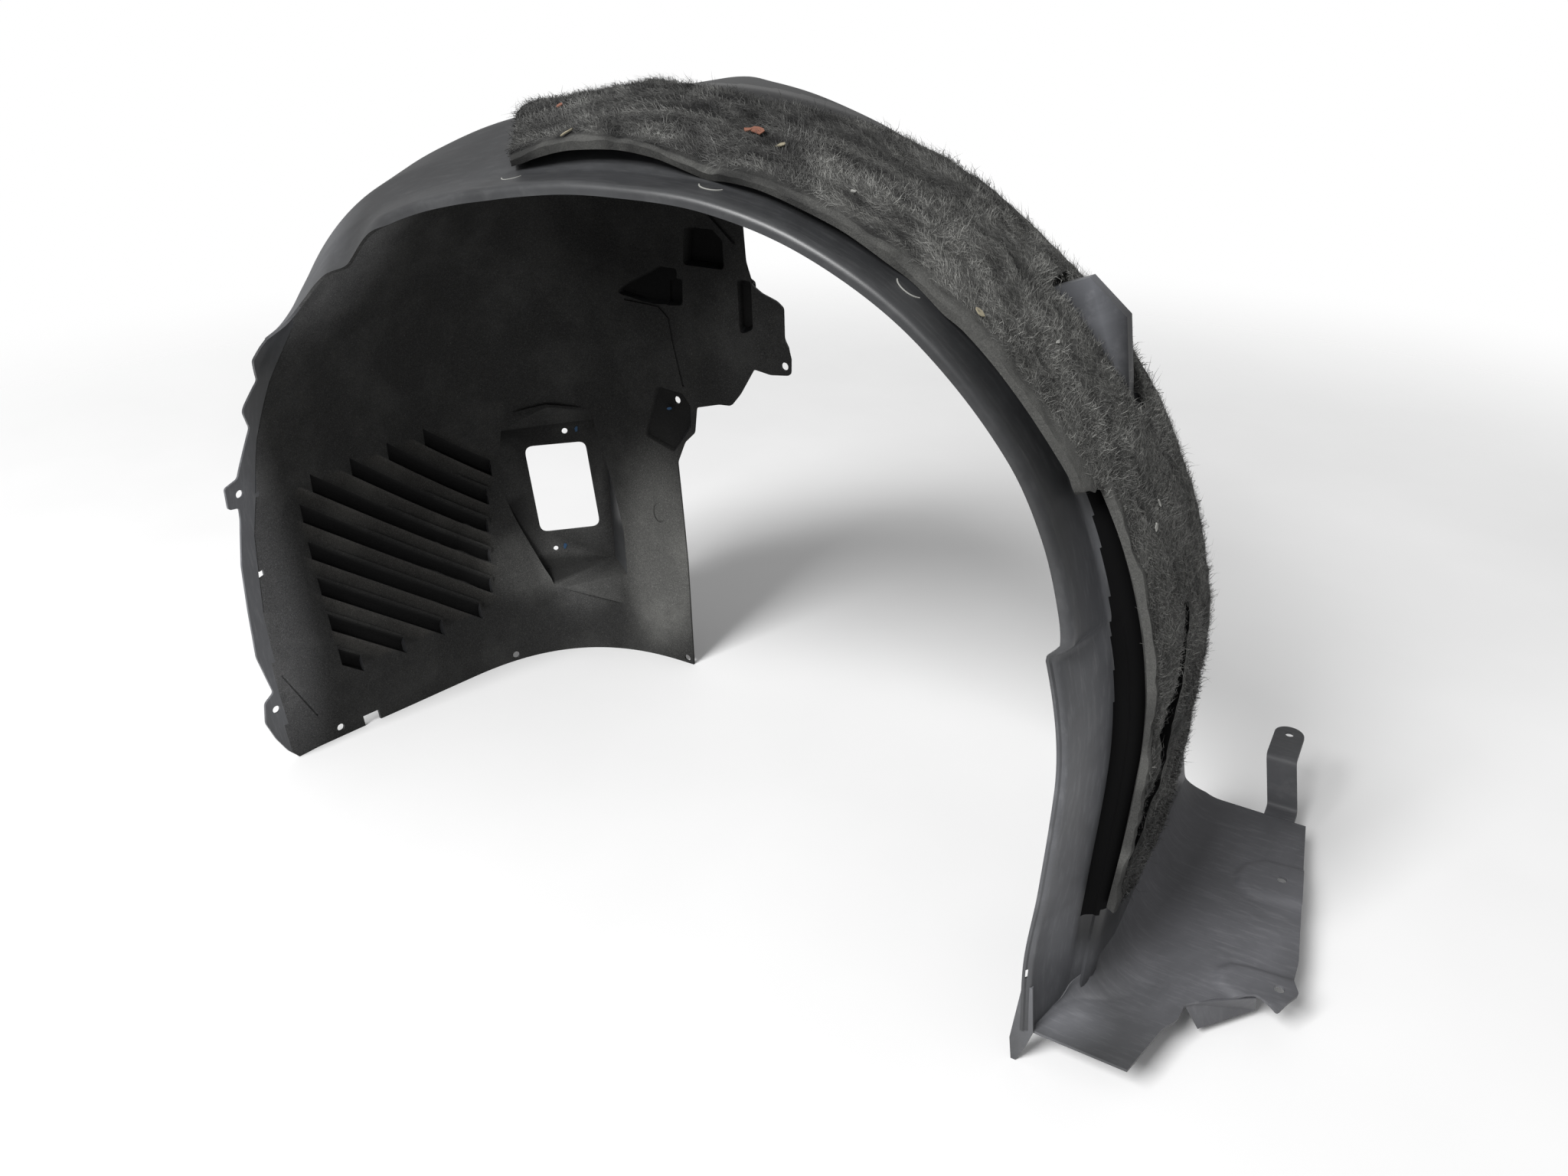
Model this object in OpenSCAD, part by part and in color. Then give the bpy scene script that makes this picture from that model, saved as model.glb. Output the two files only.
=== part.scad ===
// Front wheel arch liner, standing on its two feet.
// x points to the rear of the car, y inboard from the outer lip, z up. Millimetres.
// The origin is on the floor, under the middle of the part.

/* [Arch] */
// Height of the wheel axle line above the floor
axle_height = 270; // [260:2:280]
// Radius of the outer lip at its widest
lip_radius = 379; // [372:1:386]
// Width of the flat flange along the outer lip
flange_w = 6; // [4:1:9]
// Distance from the outer lip to the inner side wall
arch_depth = 376; // [370:1:386]
// Width of the rear band, from the lip to its inboard rim
band_w = 190; // [184:1:198]
// Distance from the axle line to the front wall
front_reach = 487; // [480:1:494]
// Thickness of the moulding
wall_t = 2.5; // [2:0.1:3.2]

/* [Front wall] */
// Lowest line of the ribbed field
rib_field_z = 79; // [74:1:86]
// Height of the ribbed field
rib_field_h = 224; // [216:1:230]
// Outboard side of the ribbed field
rib_field_y = 66; // [62:1:74]
// Width of the ribbed field along its top
rib_field_w = 250; // [236:1:254]
// Spacing of the ribs, measured up the wall
rib_pitch = 43; // [38:1:48]
// Width of one rib groove across its length
rib_groove_w = 16; // [12:1:19]
// Depth of a rib groove
rib_depth = 8; // [5:0.5:10]
// Slope of the ribs, falling inboard
rib_slope = 39; // [35:1:42]

/* [Window] */
// Width of the window
window_w = 74; // [64:1:78]
// Height of the window
window_h = 110; // [100:1:114]
// Corner radius of the window
window_r = 10; // [6:1:14]
// Turn of the window panel from the side wall
panel_turn = 45; // [42:1:47]
// How far the window panel leans back
panel_lean = 8; // [6:1:10]

/* [Side wall] */
// Depth of the pockets pressed into the side wall
relief_depth = 12; // [8:1:14]

/* [Dome] */
// Radius of the dome at its root
dome_r = 45; // [40:1:48]
// Height of the dome above the band
dome_rise = 28; // [22:1:34]

/* [Rear plate] */
// Height of the rear plate above the floor
plate_z = 37; // [33:1:41]
// Length of the rear plate behind the bend
plate_len = 109.5; // [103.5:0.5:117.5]
// Radius of the bend between the rear leg and the plate
bend_r = 35; // [30:1:38]
// Height of the raised strap above the plate
strap_rise = 50; // [42:1:56]
// Width of the raised strap
strap_w = 28; // [24:1:32]
// Height of the raised pads round the plate holes
pad_rise = 5; // [3:0.5:7]

/* [Holes] */
// Bore of the fastener holes
hole_d = 8.5; // [7:0.1:9.5]

/* [Fleece] */
// Thickness of the acoustic fleece
fleece_t = 7; // [5:0.5:8]
// Gap left under the fleece
fleece_gap = 0.5; // [0.4:0.1:0.8]

/* [Hidden] */

// Stations run round the arch in degrees: 180 is the front, 90 the crown and 0 the rear.
// Past 180 and below 0 they run straight down the two legs to the floor.
leg_span = 60;
front_foot = 180 + leg_span;
// The rear leg's sheet ends within the thickness of the plate.
rear_foot = -leg_span * (1 - (plate_z - 1) / axle_height);

// Each rail is a list of stations: [station, distance from the axle line, distance inboard].
lip_extra = lip_radius - 379;
front_extra = front_reach - 487;
depth_extra = arch_depth - 376;
band_extra = band_w - 190;

lip_rail = [
    [-52, 352, 0], [-36, 348, 0], [-20, 352, 0], [0, 354, 0], [17, 352, 0], [19, 365, 0],
    [24, 370, 0], [30, 375, 0], [38, 379, 0], [52, 379, 0], [66, 376, 0], [78, 371, 0],
    [90, 366, 0], [99, 367, 0], [106, 370, 0], [112, 376, 0], [118, 384, 0], [123, 391, 0]];
front_edge = [
    [128, 398, 3], [134, 400, 9], [139, 416, 12], [146, 434, 20], [152, 458, 32], [157, 478, 42],
    [163, 487, 34], [169, 488, 17], [172, 488, -8], [175, 487, -40], [178, 487, -40],
    [222, 484, -40], [240, 480, -40]];
edge_rail = concat(lip_rail, front_edge);

// The rear leg bends into the plate.
leg_x = 389 + lip_extra;
bend_x = leg_x + wall_t + bend_r;
plate_reach = bend_x + plate_len;

// The origin is under the middle of the part's box.
origin = [(plate_reach - front_reach - rib_depth - wall_t) / 2, (446 + band_extra + strap_w / 2 - 33) / 2, 0];

function shifted(rail, dn, dy) = [for (p = rail) [p[0], p[1] + dn, p[2] + dy]];
flange_rail = concat(shifted(lip_rail, flange_w, 0),
    shifted([for (p = front_edge) if (p[0] < 155) p], 7, 8),
    shifted([for (p = front_edge) if (p[0] > 155) p], 0, 13));
strip_rail = [
    [-52, 372, 52], [-20, 376, 54], [0, 378, 54], [17, 378, 50], [30, 384, 46], [36, 388, 32],
    [52, 388, 28], [66, 385, 28], [78, 380, 27], [90, 376, 26], [99, 377, 26], [106, 381, 26],
    [112, 388, 26], [118, 398, 26], [123, 407, 28], [134, 430, 34], [146, 456, 44],
    [157, 484, 62], [170, 488, 44], [188, 487, 14], [220, 480, 10], [240, 474, 16]];
crease_rail = [
    [-52, 384, 62], [-20, 391, 62], [0, 394, 60], [17, 395, 58], [30, 396, 57], [36, 396, 56],
    [52, 397, 56], [66, 398, 56], [78, 399, 56], [90, 400, 56], [99, 401, 56], [106, 402, 57],
    [112, 406, 59], [118, 416, 60], [123, 428, 61], [134, 452, 62], [146, 472, 66],
    [157, 486, 84], [170, 488, 78], [188, 487, 70], [220, 473, 66], [240, 461, 70]];
shoulder_rail = [
    [-52, 389, 100], [-20, 396, 100], [0, 400, 100], [17, 402, 100], [36, 403, 98], [52, 404, 98],
    [66, 407, 98], [78, 413, 96], [90, 418, 96], [99, 421, 98], [106, 424, 100], [112, 429, 102],
    [118, 437, 104], [123, 444, 104], [134, 464, 106], [146, 479, 112], [157, 487, 130],
    [170, 488, 130], [188, 486, 130], [220, 458, 130], [240, 446, 130]];
corner_rail = [
    [-52, 390, 372], [-40, 391, 330], [-26, 394, 272], [-12, 397, 218], [0, 400, 195],
    [17, 403, 190], [36, 404, 190], [52, 405, 190], [66, 407, 194], [76, 411, 204],
    [84, 414, 222], [92, 418, 256], [98, 422, 304], [104, 425, 350], [109, 429, 376],
    [114, 434, 376], [123, 444, 376],
    [134, 464, 376], [146, 479, 376], [157, 487, 376], [170, 488, 376], [188, 482, 376],
    [220, 424, 374], [240, 387, 372]];
wall_depth = [
    [-52, 12], [84, 12], [92, 22], [98, 48], [104, 120], [110, 235], [114, 242], [119, 300],
    [124, 310], [134, 312], [146, 332], [153, 332], [160, 302], [170, 302], [177, 286],
    [188, 282], [220, 232], [240, 196]];
corner_radius = [[-52, 6], [84, 6], [92, 16], [104, 50], [123, 70], [146, 110], [170, 180],
    [188, 205], [240, 205]];

// Monotone cubic through column c of a table whose first column is the station.
function cell_of(t, s, i) = i >= len(t) - 2 || s <= t[i + 1][0] ? i : cell_of(t, s, i + 1);
function secant(t, i, c) = (t[i + 1][c] - t[i][c]) / (t[i + 1][0] - t[i][0]);
function slope_at(t, i, c) =
    i == 0 ? secant(t, 0, c)
    : i == len(t) - 1 ? secant(t, i - 1, c)
    : let (a = secant(t, i - 1, c), b = secant(t, i, c)) a * b <= 0 ? 0 : 2 * a * b / (a + b);
function along(t, s, c) =
    let (i = cell_of(t, s, 0), h = t[i + 1][0] - t[i][0], x = (s - t[i][0]) / h)
    t[i][c] * (1 + 2 * x) * pow(1 - x, 2) + slope_at(t, i, c) * h * x * pow(1 - x, 2)
    + t[i + 1][c] * x * x * (3 - 2 * x) - slope_at(t, i + 1, c) * h * x * x * (1 - x);

// A section across the arch at station s, as [distance from the axle line, inboard] points.
function rim(s) = along(corner_rail, s, 2) + (s > 97 ? depth_extra : band_extra);
function corners(s) = [
    [along(edge_rail, s, 1), along(edge_rail, s, 2)],
    [along(flange_rail, s, 1), along(flange_rail, s, 2)],
    [along(strip_rail, s, 1), along(strip_rail, s, 2)],
    [along(crease_rail, s, 1), along(crease_rail, s, 2)],
    [along(shoulder_rail, s, 1), along(shoulder_rail, s, 2)],
    [along(corner_rail, s, 1), rim(s)],
    [along(corner_rail, s, 1) - along(wall_depth, s, 1) - front_extra * front_share(s), rim(s)]];
function unit(v) = v / norm(v);
// Rounds corner b between a and c, with n steps, as a quadratic curve.
function rounded(a, b, c, r, n, most = 0.45) =
    let (ab = unit(a - b), cb = unit(c - b), half = acos(max(-1, min(1, ab * cb))) / 2,
        reach = min(max(3, r / tan(half)), most * norm(a - b), most * norm(c - b)))
    [for (k = [0:n]) let (x = k / n)
        pow(1 - x, 2) * (b + ab * reach) + 2 * x * (1 - x) * b + x * x * (b + cb * reach)];
function section(s) = let (p = corners(s)) concat(
    [p[0]],
    rounded(p[0], p[1], p[2], 3, 1),
    rounded(p[1], p[2], p[3], 10, 2),
    rounded(p[2], p[3], p[4], 14, 2),
    rounded(p[3], p[4], p[5], 40, 3),
    [(p[4] + band_edge(p)) / 2, band_edge(p)],
    rounded(band_edge(p), p[5], p[6], along(corner_radius, s, 1), 7, 0.9),
    [p[6]]);
// The line that the inboard edge of the fleece follows.
function band_edge(p) =
    let (share = (min(band_w, p[5][1] - 8) - p[4][1]) / (p[5][1] - p[4][1]))
    p[4] + (p[5] - p[4]) * share;

// Places a section point in space.
function spine_z(s) = s > 180 ? axle_height * (front_foot - s) / leg_span
    : s < 0 ? axle_height * (1 + s / leg_span) : axle_height;
function out_dir(s) = s > 180 ? [-1, 0, 0] : s < 0 ? [1, 0, 0] : [cos(s), 0, sin(s)];
// The lip radius carries the rear and the crown, the front reach carries the front.
function front_share(s) = max(0, min(1, (s - 123) / 34));
function grown(s, n) = n + lip_extra * (1 - front_share(s)) + front_extra * front_share(s);
function placed(s, p) = [0, p[1], spine_z(s)] + out_dir(s) * grown(s, p[0]);

stations = concat([for (s = [front_foot:-4:220]) s], [for (s = [212:-8:188]) s],
    [for (s = [180:-3:0]) s], [for (s = [-6:-6:rear_foot + 3]) s], [rear_foot]);
function row_at(s) = len([for (t = stations) if (t > s) t]);
inner_skin = [for (s = stations) [for (p = section(s)) placed(s, p)]];
rows = len(inner_skin);
cols = len(inner_skin[0]);
function normal_at(g, i, j) = unit(cross(
    g[min(i + 1, len(g) - 1)][j] - g[max(i - 1, 0)][j],
    g[i][min(j + 1, len(g[0]) - 1)] - g[i][max(j - 1, 0)]));
skin_normals = [for (i = [0:rows - 1]) [for (j = [0:cols - 1]) normal_at(inner_skin, i, j)]];
function raised(i, j, h) = inner_skin[i][j] + skin_normals[i][j] * h;

// A closed sheet between two heights above the inner skin, over a range of rows and columns.
module sheet(i0, i1, j0, j1, low, high) {
    w = j1 - j0 + 1;
    h = i1 - i0 + 1;
    n = w * h;
    low_points = [for (i = [i0:i1]) for (j = [j0:j1]) raised(i, j, low)];
    high_points = [for (i = [i0:i1]) for (j = [j0:j1]) raised(i, j, high)];
    faces = concat(
        [for (i = [0:h - 2]) for (j = [0:w - 2]) let (k = i * w + j)
            each [[k, k + w, k + 1], [k + 1, k + w, k + w + 1]]],
        [for (i = [0:h - 2]) for (j = [0:w - 2]) let (k = n + i * w + j)
            each [[k, k + 1, k + w], [k + 1, k + w + 1, k + w]]],
        [for (i = [0:h - 2]) let (k = i * w) each [[k, n + k, k + w], [k + w, n + k, n + k + w]]],
        [for (i = [0:h - 2]) let (k = i * w + w - 1)
            each [[k, k + w, n + k], [k + w, n + k + w, n + k]]],
        [for (j = [0:w - 2]) each [[j, j + 1, n + j], [j + 1, n + j + 1, n + j]]],
        [for (j = [0:w - 2]) let (k = (h - 1) * w + j)
            each [[k, n + k, k + 1], [k + 1, n + k, n + k + 1]]]);
    polyhedron(points = concat(low_points, high_points), faces = faces);
}

// A closed solid through rings that all have the same number of points.
module loft(rings) {
    m = len(rings[0]);
    last = len(rings) - 1;
    faces = concat(
        [[for (k = [m - 1:-1:0]) k]],
        [[for (k = [0:m - 1]) last * m + k]],
        [for (i = [0:last - 1]) for (k = [0:m - 1]) let (a = i * m + k, b = i * m + (k + 1) % m)
            each [[a, b, a + m], [b, b + m, a + m]]]);
    polyhedron(points = [for (r = rings) each r], faces = faces);
}

// Outline with its corners rounded.
function smooth(p, r) = let (n = len(p))
    [for (i = [0:n - 1]) each rounded(p[(i + n - 1) % n], p[i], p[(i + 1) % n], r, 3)];

module between_y(y0, y1) {
    translate([0, y1, 0])
    rotate([90, 0, 0])
    linear_extrude(y1 - y0)
    children();
}
module between_x(x0, x1) {
    translate([x0, 0, 0])
    rotate([90, 0, 90])
    linear_extrude(x1 - x0)
    children();
}
module between_z(z0, z1) {
    translate([0, 0, z0])
    linear_extrude(z1 - z0)
    children();
}

// The side wall's edge, stepped round two fastener tabs, as [x, z] points.
wall_edge = smooth([
    [-90, 650], [-118, 600], [-129, 542], [-126, 506], [-118, 483], [-107, 476], [-89, 470],
    [-81, 464], [-80, 432], [-72, 418], [-72, 394], [-96, 391], [-117, 394], [-135, 363],
    [-147, 348], [-162, 347], [-193, 338], [-197, 307], [-211, 293], [-222, 267], [-213, 141],
    [-207, -20], [-10, -20], [-10, 650]], 5);
// The front wall's outboard edge, as [y, z] points.
front_trim = smooth([
    [-70, -20], [2, -20], [-7, 0], [-17, 13], [-26, 33], [-33, 57], [-28, 79], [-16, 87],
    [-24, 134], [-20, 187], [-15, 237], [-4, 284], [-3, 297], [-15, 299], [-15, 322], [6, 326],
    [10, 352], [-70, 352]], 4);

// Bores along x, along y and upright.
module bore_x(p, d = hole_d, turn = 0) {
    translate(p)
    rotate([0, 0, turn])
    rotate([0, 90, 0])
    cylinder(h = 30, d = d, center = true, $fn = 24);
}
module bore_y(p, d = hole_d) {
    translate(p)
    rotate([90, 0, 0])
    cylinder(h = 30, d = d, center = true, $fn = 24);
}
module bore_z(p, d = hole_d) {
    translate(p)
    cylinder(h = 30, d = d, center = true, $fn = 24);
}

// A point of the front wall's inner face, by its distance inboard and its height.
function wall_station(z) = z <= axle_height
    ? front_foot - z / axle_height * leg_span
    : 180 - atan((z - axle_height) / front_reach);
function wall_point(y, z) = let (s = wall_station(z))
    placed(s, [lookup(y, [for (p = section(s)) [p[1], p[0]]]), y]);
function wall_normal(y, z) = let (t = wall_point(y + 4, z) - wall_point(y - 4, z))
    unit([-t[1], t[0], 0]);

// Rib grooves fall inboard across the ribbed field, each cut off at the field's sides.
rib_fall = tan(rib_slope);
rib_top = rib_field_z + rib_field_h;
rib_half = rib_groove_w / cos(rib_slope) / 2;
rib_starts = [for (z = rib_field_z + 13; z < rib_top + rib_field_w * rib_fall - 55; z = z + rib_pitch) z];
function rib_begin(z) = rib_field_y + max(0, (z + rib_half - rib_top) / rib_fall);
// The field narrows towards the floor by this much for each millimetre.
rib_taper = 0.34;
function rib_end(z) = let (right = rib_field_y + rib_field_w)
    min(rib_field_y + (z - rib_half - rib_field_z) / rib_fall + 20,
        (right - rib_taper * (rib_top - 68 - z - rib_field_y * rib_fall)) / (1 + rib_taper * rib_fall));
module rib(z, mouth, floor_depth, grow, steps) {
    a = rib_begin(z) - grow;
    b = rib_end(z) + grow;
    rings = [for (k = [0:steps]) let (y = a + (b - a) * k / steps, c = z - rib_fall * (y - rib_field_y),
        p = wall_point(y, c), n = wall_normal(y, c), up = [0, 0, 1], h = rib_half + grow)
        [p + n * mouth + up * h, p + n * floor_depth + up * (h - 2),
            p + n * floor_depth - up * (h - 7), p + n * mouth - up * h]];
    loft(rings);
}

// The window panel is a turned, leaning pocket between the front wall and the side wall.
panel_at = [-444 - front_extra, 321 + depth_extra, 195];
module panel_frame() {
    translate(panel_at)
    rotate([0, 0, panel_turn])
    rotate([-panel_lean, 0, 0])
    children();
}
module pocket(g) {
    loft([
        [[-g, g, -100 - g], [60, -22 + g, -118 - g], [136 + g, -50, -140 - g]],
        [[-g, g, -88 - g], [128 + g, g, -92 - g], [136 + g, -52, -100 - g]],
        [[-g, g, 82 + g], [128 + g, g, 88 + g], [134 + g, -58, 92 + g]],
        [[-g, g, 98 + g], [60, -24 + g, 112 + g], [130 + g, -58, 106 + g]]]);
}
window_at = [71, 6];
window_skew = 4.5;
window_outline = smooth([
    [window_at[0] - window_w / 2 - window_skew, window_at[1] + window_h / 2],
    [window_at[0] + window_w / 2 - window_skew, window_at[1] + window_h / 2],
    [window_at[0] + window_w / 2 + window_skew, window_at[1] - window_h / 2],
    [window_at[0] - window_w / 2 + window_skew, window_at[1] - window_h / 2]], window_r);

// Pockets pressed into the side wall, as [x, z] outlines: a square one and a pointed scoop.
side_y = 376 + depth_extra;
square_pocket = [[-204, 494], [-151, 494], [-153, 535], [-201, 535]];
scoop = [[-250, 446], [-214, 450], [-210, 490], [-235, 492], [-262, 478], [-299, 454]];
module side_pocket(outline, mouth, depth, grow) {
    centre = (outline[1] + outline[3]) / 2;
    rings = [for (step = [[mouth, 0], [depth, 5]])
        [for (p = smooth(outline, 5)) let (q = p + unit(p - centre) * (grow - step[1]))
            [q[0], side_y + step[0], q[1]]]];
    loft(rings);
}

// The dome stands out of the rear shoulder of the band.
dome_station = 44;
dome_y = 138;
dome_root = 404 + lip_extra;
module on_dome_axis() {
    translate([0, dome_y, axle_height])
    rotate([0, 90 - dome_station, 0])
    children();
}

// The plate's features move with its rear edge.
plate_extra = plate_reach - 536;
plate_low = plate_z - wall_t;
bend_top = plate_z + bend_r;
bend_steps = 8;
bend_outline = concat(
    [[leg_x, bend_top + 12], [leg_x + wall_t, bend_top + 12]],
    [for (k = [0:bend_steps]) let (a = 180 + 90 * k / bend_steps)
        [bend_x + bend_r * cos(a), bend_top + bend_r * sin(a)]],
    [[bend_x + 4, plate_z], [bend_x + 4, plate_low]],
    [for (k = [bend_steps:-1:0]) let (a = 180 + 90 * k / bend_steps)
        [bend_x + (bend_r + wall_t) * cos(a), bend_top + (bend_r + wall_t) * sin(a)]]);
plate_outline = smooth([
    [bend_x + 1, 358 + band_extra], [bend_x + 1, 64], [386 + lip_extra, 64], [377 + lip_extra, 53],
    [355 + lip_extra, 5],
    [434 + plate_extra, -5], [449 + plate_extra, 56], [457 + plate_extra, 70],
    [458 + plate_extra, 89], [478 + plate_extra, 107], [506 + plate_extra, 124],
    [524 + plate_extra, 116], [536 + plate_extra, 141], [530 + plate_extra, 154],
    [530 + plate_extra, 181], [505 + plate_extra, 386 + band_extra],
    [466 + plate_extra, 384 + band_extra], [bend_x + 7.5, 373 + band_extra]], 2.5);
strap_x = 456 + plate_extra;
strap_y = 390 + band_extra;
strap_end = 446 + band_extra;
strap_top = plate_z + strap_rise;
pad_a = [[466, 262], [475, 243], [517, 248], [511, 301], [486, 300]];
pad_b = [[474, 131], [482, 117], [519, 121], [530, 141], [524, 151], [500, 148]];
module pad(outline, low, high, inset) {
    centre = (outline[0] + outline[1] + outline[2] + outline[3] + outline[4]) / 5;
    translate([plate_extra, 0, 0])
    between_z(low, high)
    polygon(smooth([for (p = outline) p - unit(p - centre) * inset], 6));
}

module liner_solids() {
    sheet(0, rows - 1, 0, cols - 1, 0, wall_t);
    for (z = rib_starts) rib(z, wall_t / 2, rib_depth + wall_t, wall_t, 5);
    panel_frame()
    pocket(wall_t);
    side_pocket(square_pocket, wall_t / 2, relief_depth + wall_t, wall_t);
    side_pocket(scoop, wall_t / 2, relief_depth / 2 + wall_t, wall_t);
    on_dome_axis()
    translate([0, 0, dome_root])
    cylinder(h = dome_rise, r1 = dome_r, r2 = dome_r - 15, $fn = 48);
}
module foot_solids() {
    between_y(64, 358 + band_extra)
    polygon(bend_outline);
    // A web closes the outboard end of the bend.
    between_y(62, 62 + wall_t)
    polygon(concat([[leg_x - 3, bend_top], [leg_x - 3, plate_low + 0.5], [bend_x + 0.5, plate_low + 0.5]],
        [for (k = [bend_steps:-1:0]) let (a = 180 + 90 * k / bend_steps)
            [bend_x + (bend_r + 1) * cos(a), bend_top + (bend_r + 1) * sin(a)]]));
    between_z(plate_low, plate_z)
    polygon(plate_outline);
    pad(pad_a, plate_low + 1, plate_z + pad_rise, 0);
    pad(pad_b, plate_low + 1, plate_z + pad_rise, 0);
    between_x(strap_x, strap_x + strap_w)
    polygon([
        [strap_y - 12, plate_low + 0.5], [strap_y + 2, plate_low + 0.5],
        [strap_y + 11, strap_top - wall_t], [strap_end, strap_top - wall_t],
        [strap_end, strap_top], [strap_y + 9, strap_top], [strap_y, plate_z + 0.5],
        [strap_y - 12, plate_z + 0.5]]);
    translate([strap_x + strap_w / 2, strap_end, strap_top - wall_t])
    cylinder(h = wall_t, d = strap_w, $fn = 32);
    // Tip of the lip, standing on the floor.
    between_y(0.2, wall_t + 0.2)
    translate([lip_extra, 0])
    polygon([[349, plate_z + 45], [344, 22], [347, 0], [351, 0], [358, 20], [362, plate_z - 1], [357, plate_z + 45]]);
    // Edge of the plate turned down.
    skirt = [[457, 90, plate_z - 1], [507, 125, plate_z - 1], [508, 139, 10], [471, 95, 10]];
    for (half = [[skirt[3], skirt[1], skirt[0]], [skirt[3], skirt[2], skirt[1]]])
        translate([plate_extra, 0, 0])
        loft([half, [for (p = half) p + [-1.5, 2, 0]]]);
}

module liner_shell() {
    color("dimgray")
    translate(-origin)
    difference() {
        union() {
            difference() {
                liner_solids();
                for (z = rib_starts) rib(z, -3, rib_depth, 0, 4);
                panel_frame()
                pocket(0);
                side_pocket(square_pocket, -1, relief_depth, 0);
                side_pocket(scoop, -1, relief_depth / 2, 0);
                on_dome_axis()
                translate([0, 0, dome_root - 8])
                cylinder(h = dome_rise + 8 - wall_t, r1 = dome_r + 1, r2 = dome_r - 17, $fn = 48);
                // The leg ends where the bend into the plate begins.
                translate([leg_x - 14, 70, -20])
                cube([40, 340, 20 + bend_top]);
            }
            foot_solids();
        }
        between_y(340, 400 + depth_extra)
        polygon(wall_edge);
        between_x(-520, -430)
        polygon(front_trim);
        translate([-520, 72, -1])
        cube([70, 19, 13]);
        // The leg's inboard rim runs down in one line to the plate.
        between_x(372, 450)
        polygon([[374 + band_extra, plate_z + 2], [350 + band_extra, 66], [334 + band_extra, 84],
            [310 + band_extra, 111], [310 + band_extra, 130], [430, 130], [430, plate_z + 2]]);
        // Notch in the lip, above the foot.
        translate([330 + lip_extra, -2, 91])
        cube([22, 12, 9]);
        // The feet are flat on the floor.
        translate([-520, -60, -20])
        cube([1100, 460, 20]);
        bore_x([-485 - front_extra, -18, 67]);
        bore_x([-468 - front_extra, 45, 11]);
        bore_x([-487 - front_extra, 0, 311]);
        bore_x([-407 - front_extra, 270, 7], hole_d, 149);
        bore_y([-217, 372 + depth_extra, 7]);
        bore_y([-79, 377 + depth_extra, 403]);
        bore_y([-221, 377 + depth_extra, 341]);
        panel_frame()
        between_y(-6, 6)
        polygon(window_outline);
        panel_frame()
        bore_y([54.5, 1, -72], 6);
        panel_frame()
        bore_y([80, 1, 76], 7);
        bore_z([strap_x + strap_w / 2, strap_end, strap_top]);
        bore_z([500 + plate_extra, 276, plate_z]);
        bore_z([521 + plate_extra, 139, plate_z]);
        pad(pad_a, plate_low - 1, plate_z + pad_rise - wall_t, wall_t + 1);
        pad(pad_b, plate_low - 1, plate_z + pad_rise - wall_t, wall_t + 1);
    }
}

// The fleece stops short of the strip below this station, where the step wall is bare.
fleece_step = 31;
module acoustic_fleece() {
    color([0.15, 0.15, 0.16])
    translate(-origin)
    difference() {
        sheet(row_at(117), row_at(-30), 5, 14, wall_t + fleece_gap, wall_t + fleece_gap + fleece_t);
        on_dome_axis()
        cylinder(h = 600, r = dome_r + 6, $fn = 48);
        between_y(-20, 50)
        polygon([[0, axle_height], [600, axle_height + 600 * tan(fleece_step)], [600, -20], [0, -20]]);
        // Its front end is cut slantwise across the crown.
        between_z(500, 800)
        polygon([[-320, -20], [-104, -20], [-107, 24], [-124, 45], [-150, 84], [-160, 120],
            [-160, 300], [-320, 300]]);
        // A slit, opened at its upper end.
        between_x(380, 440)
        polygon([[115, 374], [109, 378], [93, 350], [77, 308], [65, 262], [57, 217], [54, 190],
            [57, 188], [60, 216], [69, 260], [82, 306], [98, 346]]);
    }
}

liner_shell();
acoustic_fleece();
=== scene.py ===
import math
import bmesh
import bpy
import numpy as np
from mathutils import Matrix, Vector
from mathutils.kdtree import KDTree


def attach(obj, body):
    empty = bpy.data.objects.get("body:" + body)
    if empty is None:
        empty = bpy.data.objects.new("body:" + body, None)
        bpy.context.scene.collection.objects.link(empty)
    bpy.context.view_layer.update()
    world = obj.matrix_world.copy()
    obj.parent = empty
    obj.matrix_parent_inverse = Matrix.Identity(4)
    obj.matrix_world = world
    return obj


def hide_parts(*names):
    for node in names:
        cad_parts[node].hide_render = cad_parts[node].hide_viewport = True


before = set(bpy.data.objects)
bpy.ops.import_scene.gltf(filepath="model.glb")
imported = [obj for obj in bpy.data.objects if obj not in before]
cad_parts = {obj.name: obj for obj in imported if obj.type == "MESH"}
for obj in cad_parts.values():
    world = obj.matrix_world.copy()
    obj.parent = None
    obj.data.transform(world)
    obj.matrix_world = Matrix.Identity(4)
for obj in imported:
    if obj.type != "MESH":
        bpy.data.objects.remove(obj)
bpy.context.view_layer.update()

# Sizes in millimetres, as in the part's source. Places are in the wheel-axis frame, which has the axle line
# above its origin and the outer lip's plane at y = 0.
ORIGIN = np.array([19.25, 213.5, 0.0])      # the row's origin in that frame
AXLE = 270.0                                # height of the axle line
WALL = 2.5
FRONT_FOOT = 240.0                          # station of the front wall's foot
FRONT_X = 487                               # front wall's inner face, ahead of the axle line
SIDE_Y = 376                                # side wall's inner face
PLATE_Z, BEND_R = 37.0, 35.0                # the rear plate's upper face and the bend above it
REAR_FOOT = -60 * (1 - PLATE_Z / AXLE)      # station of the leg's foot
CLIP_HOLE = 8.5

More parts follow.
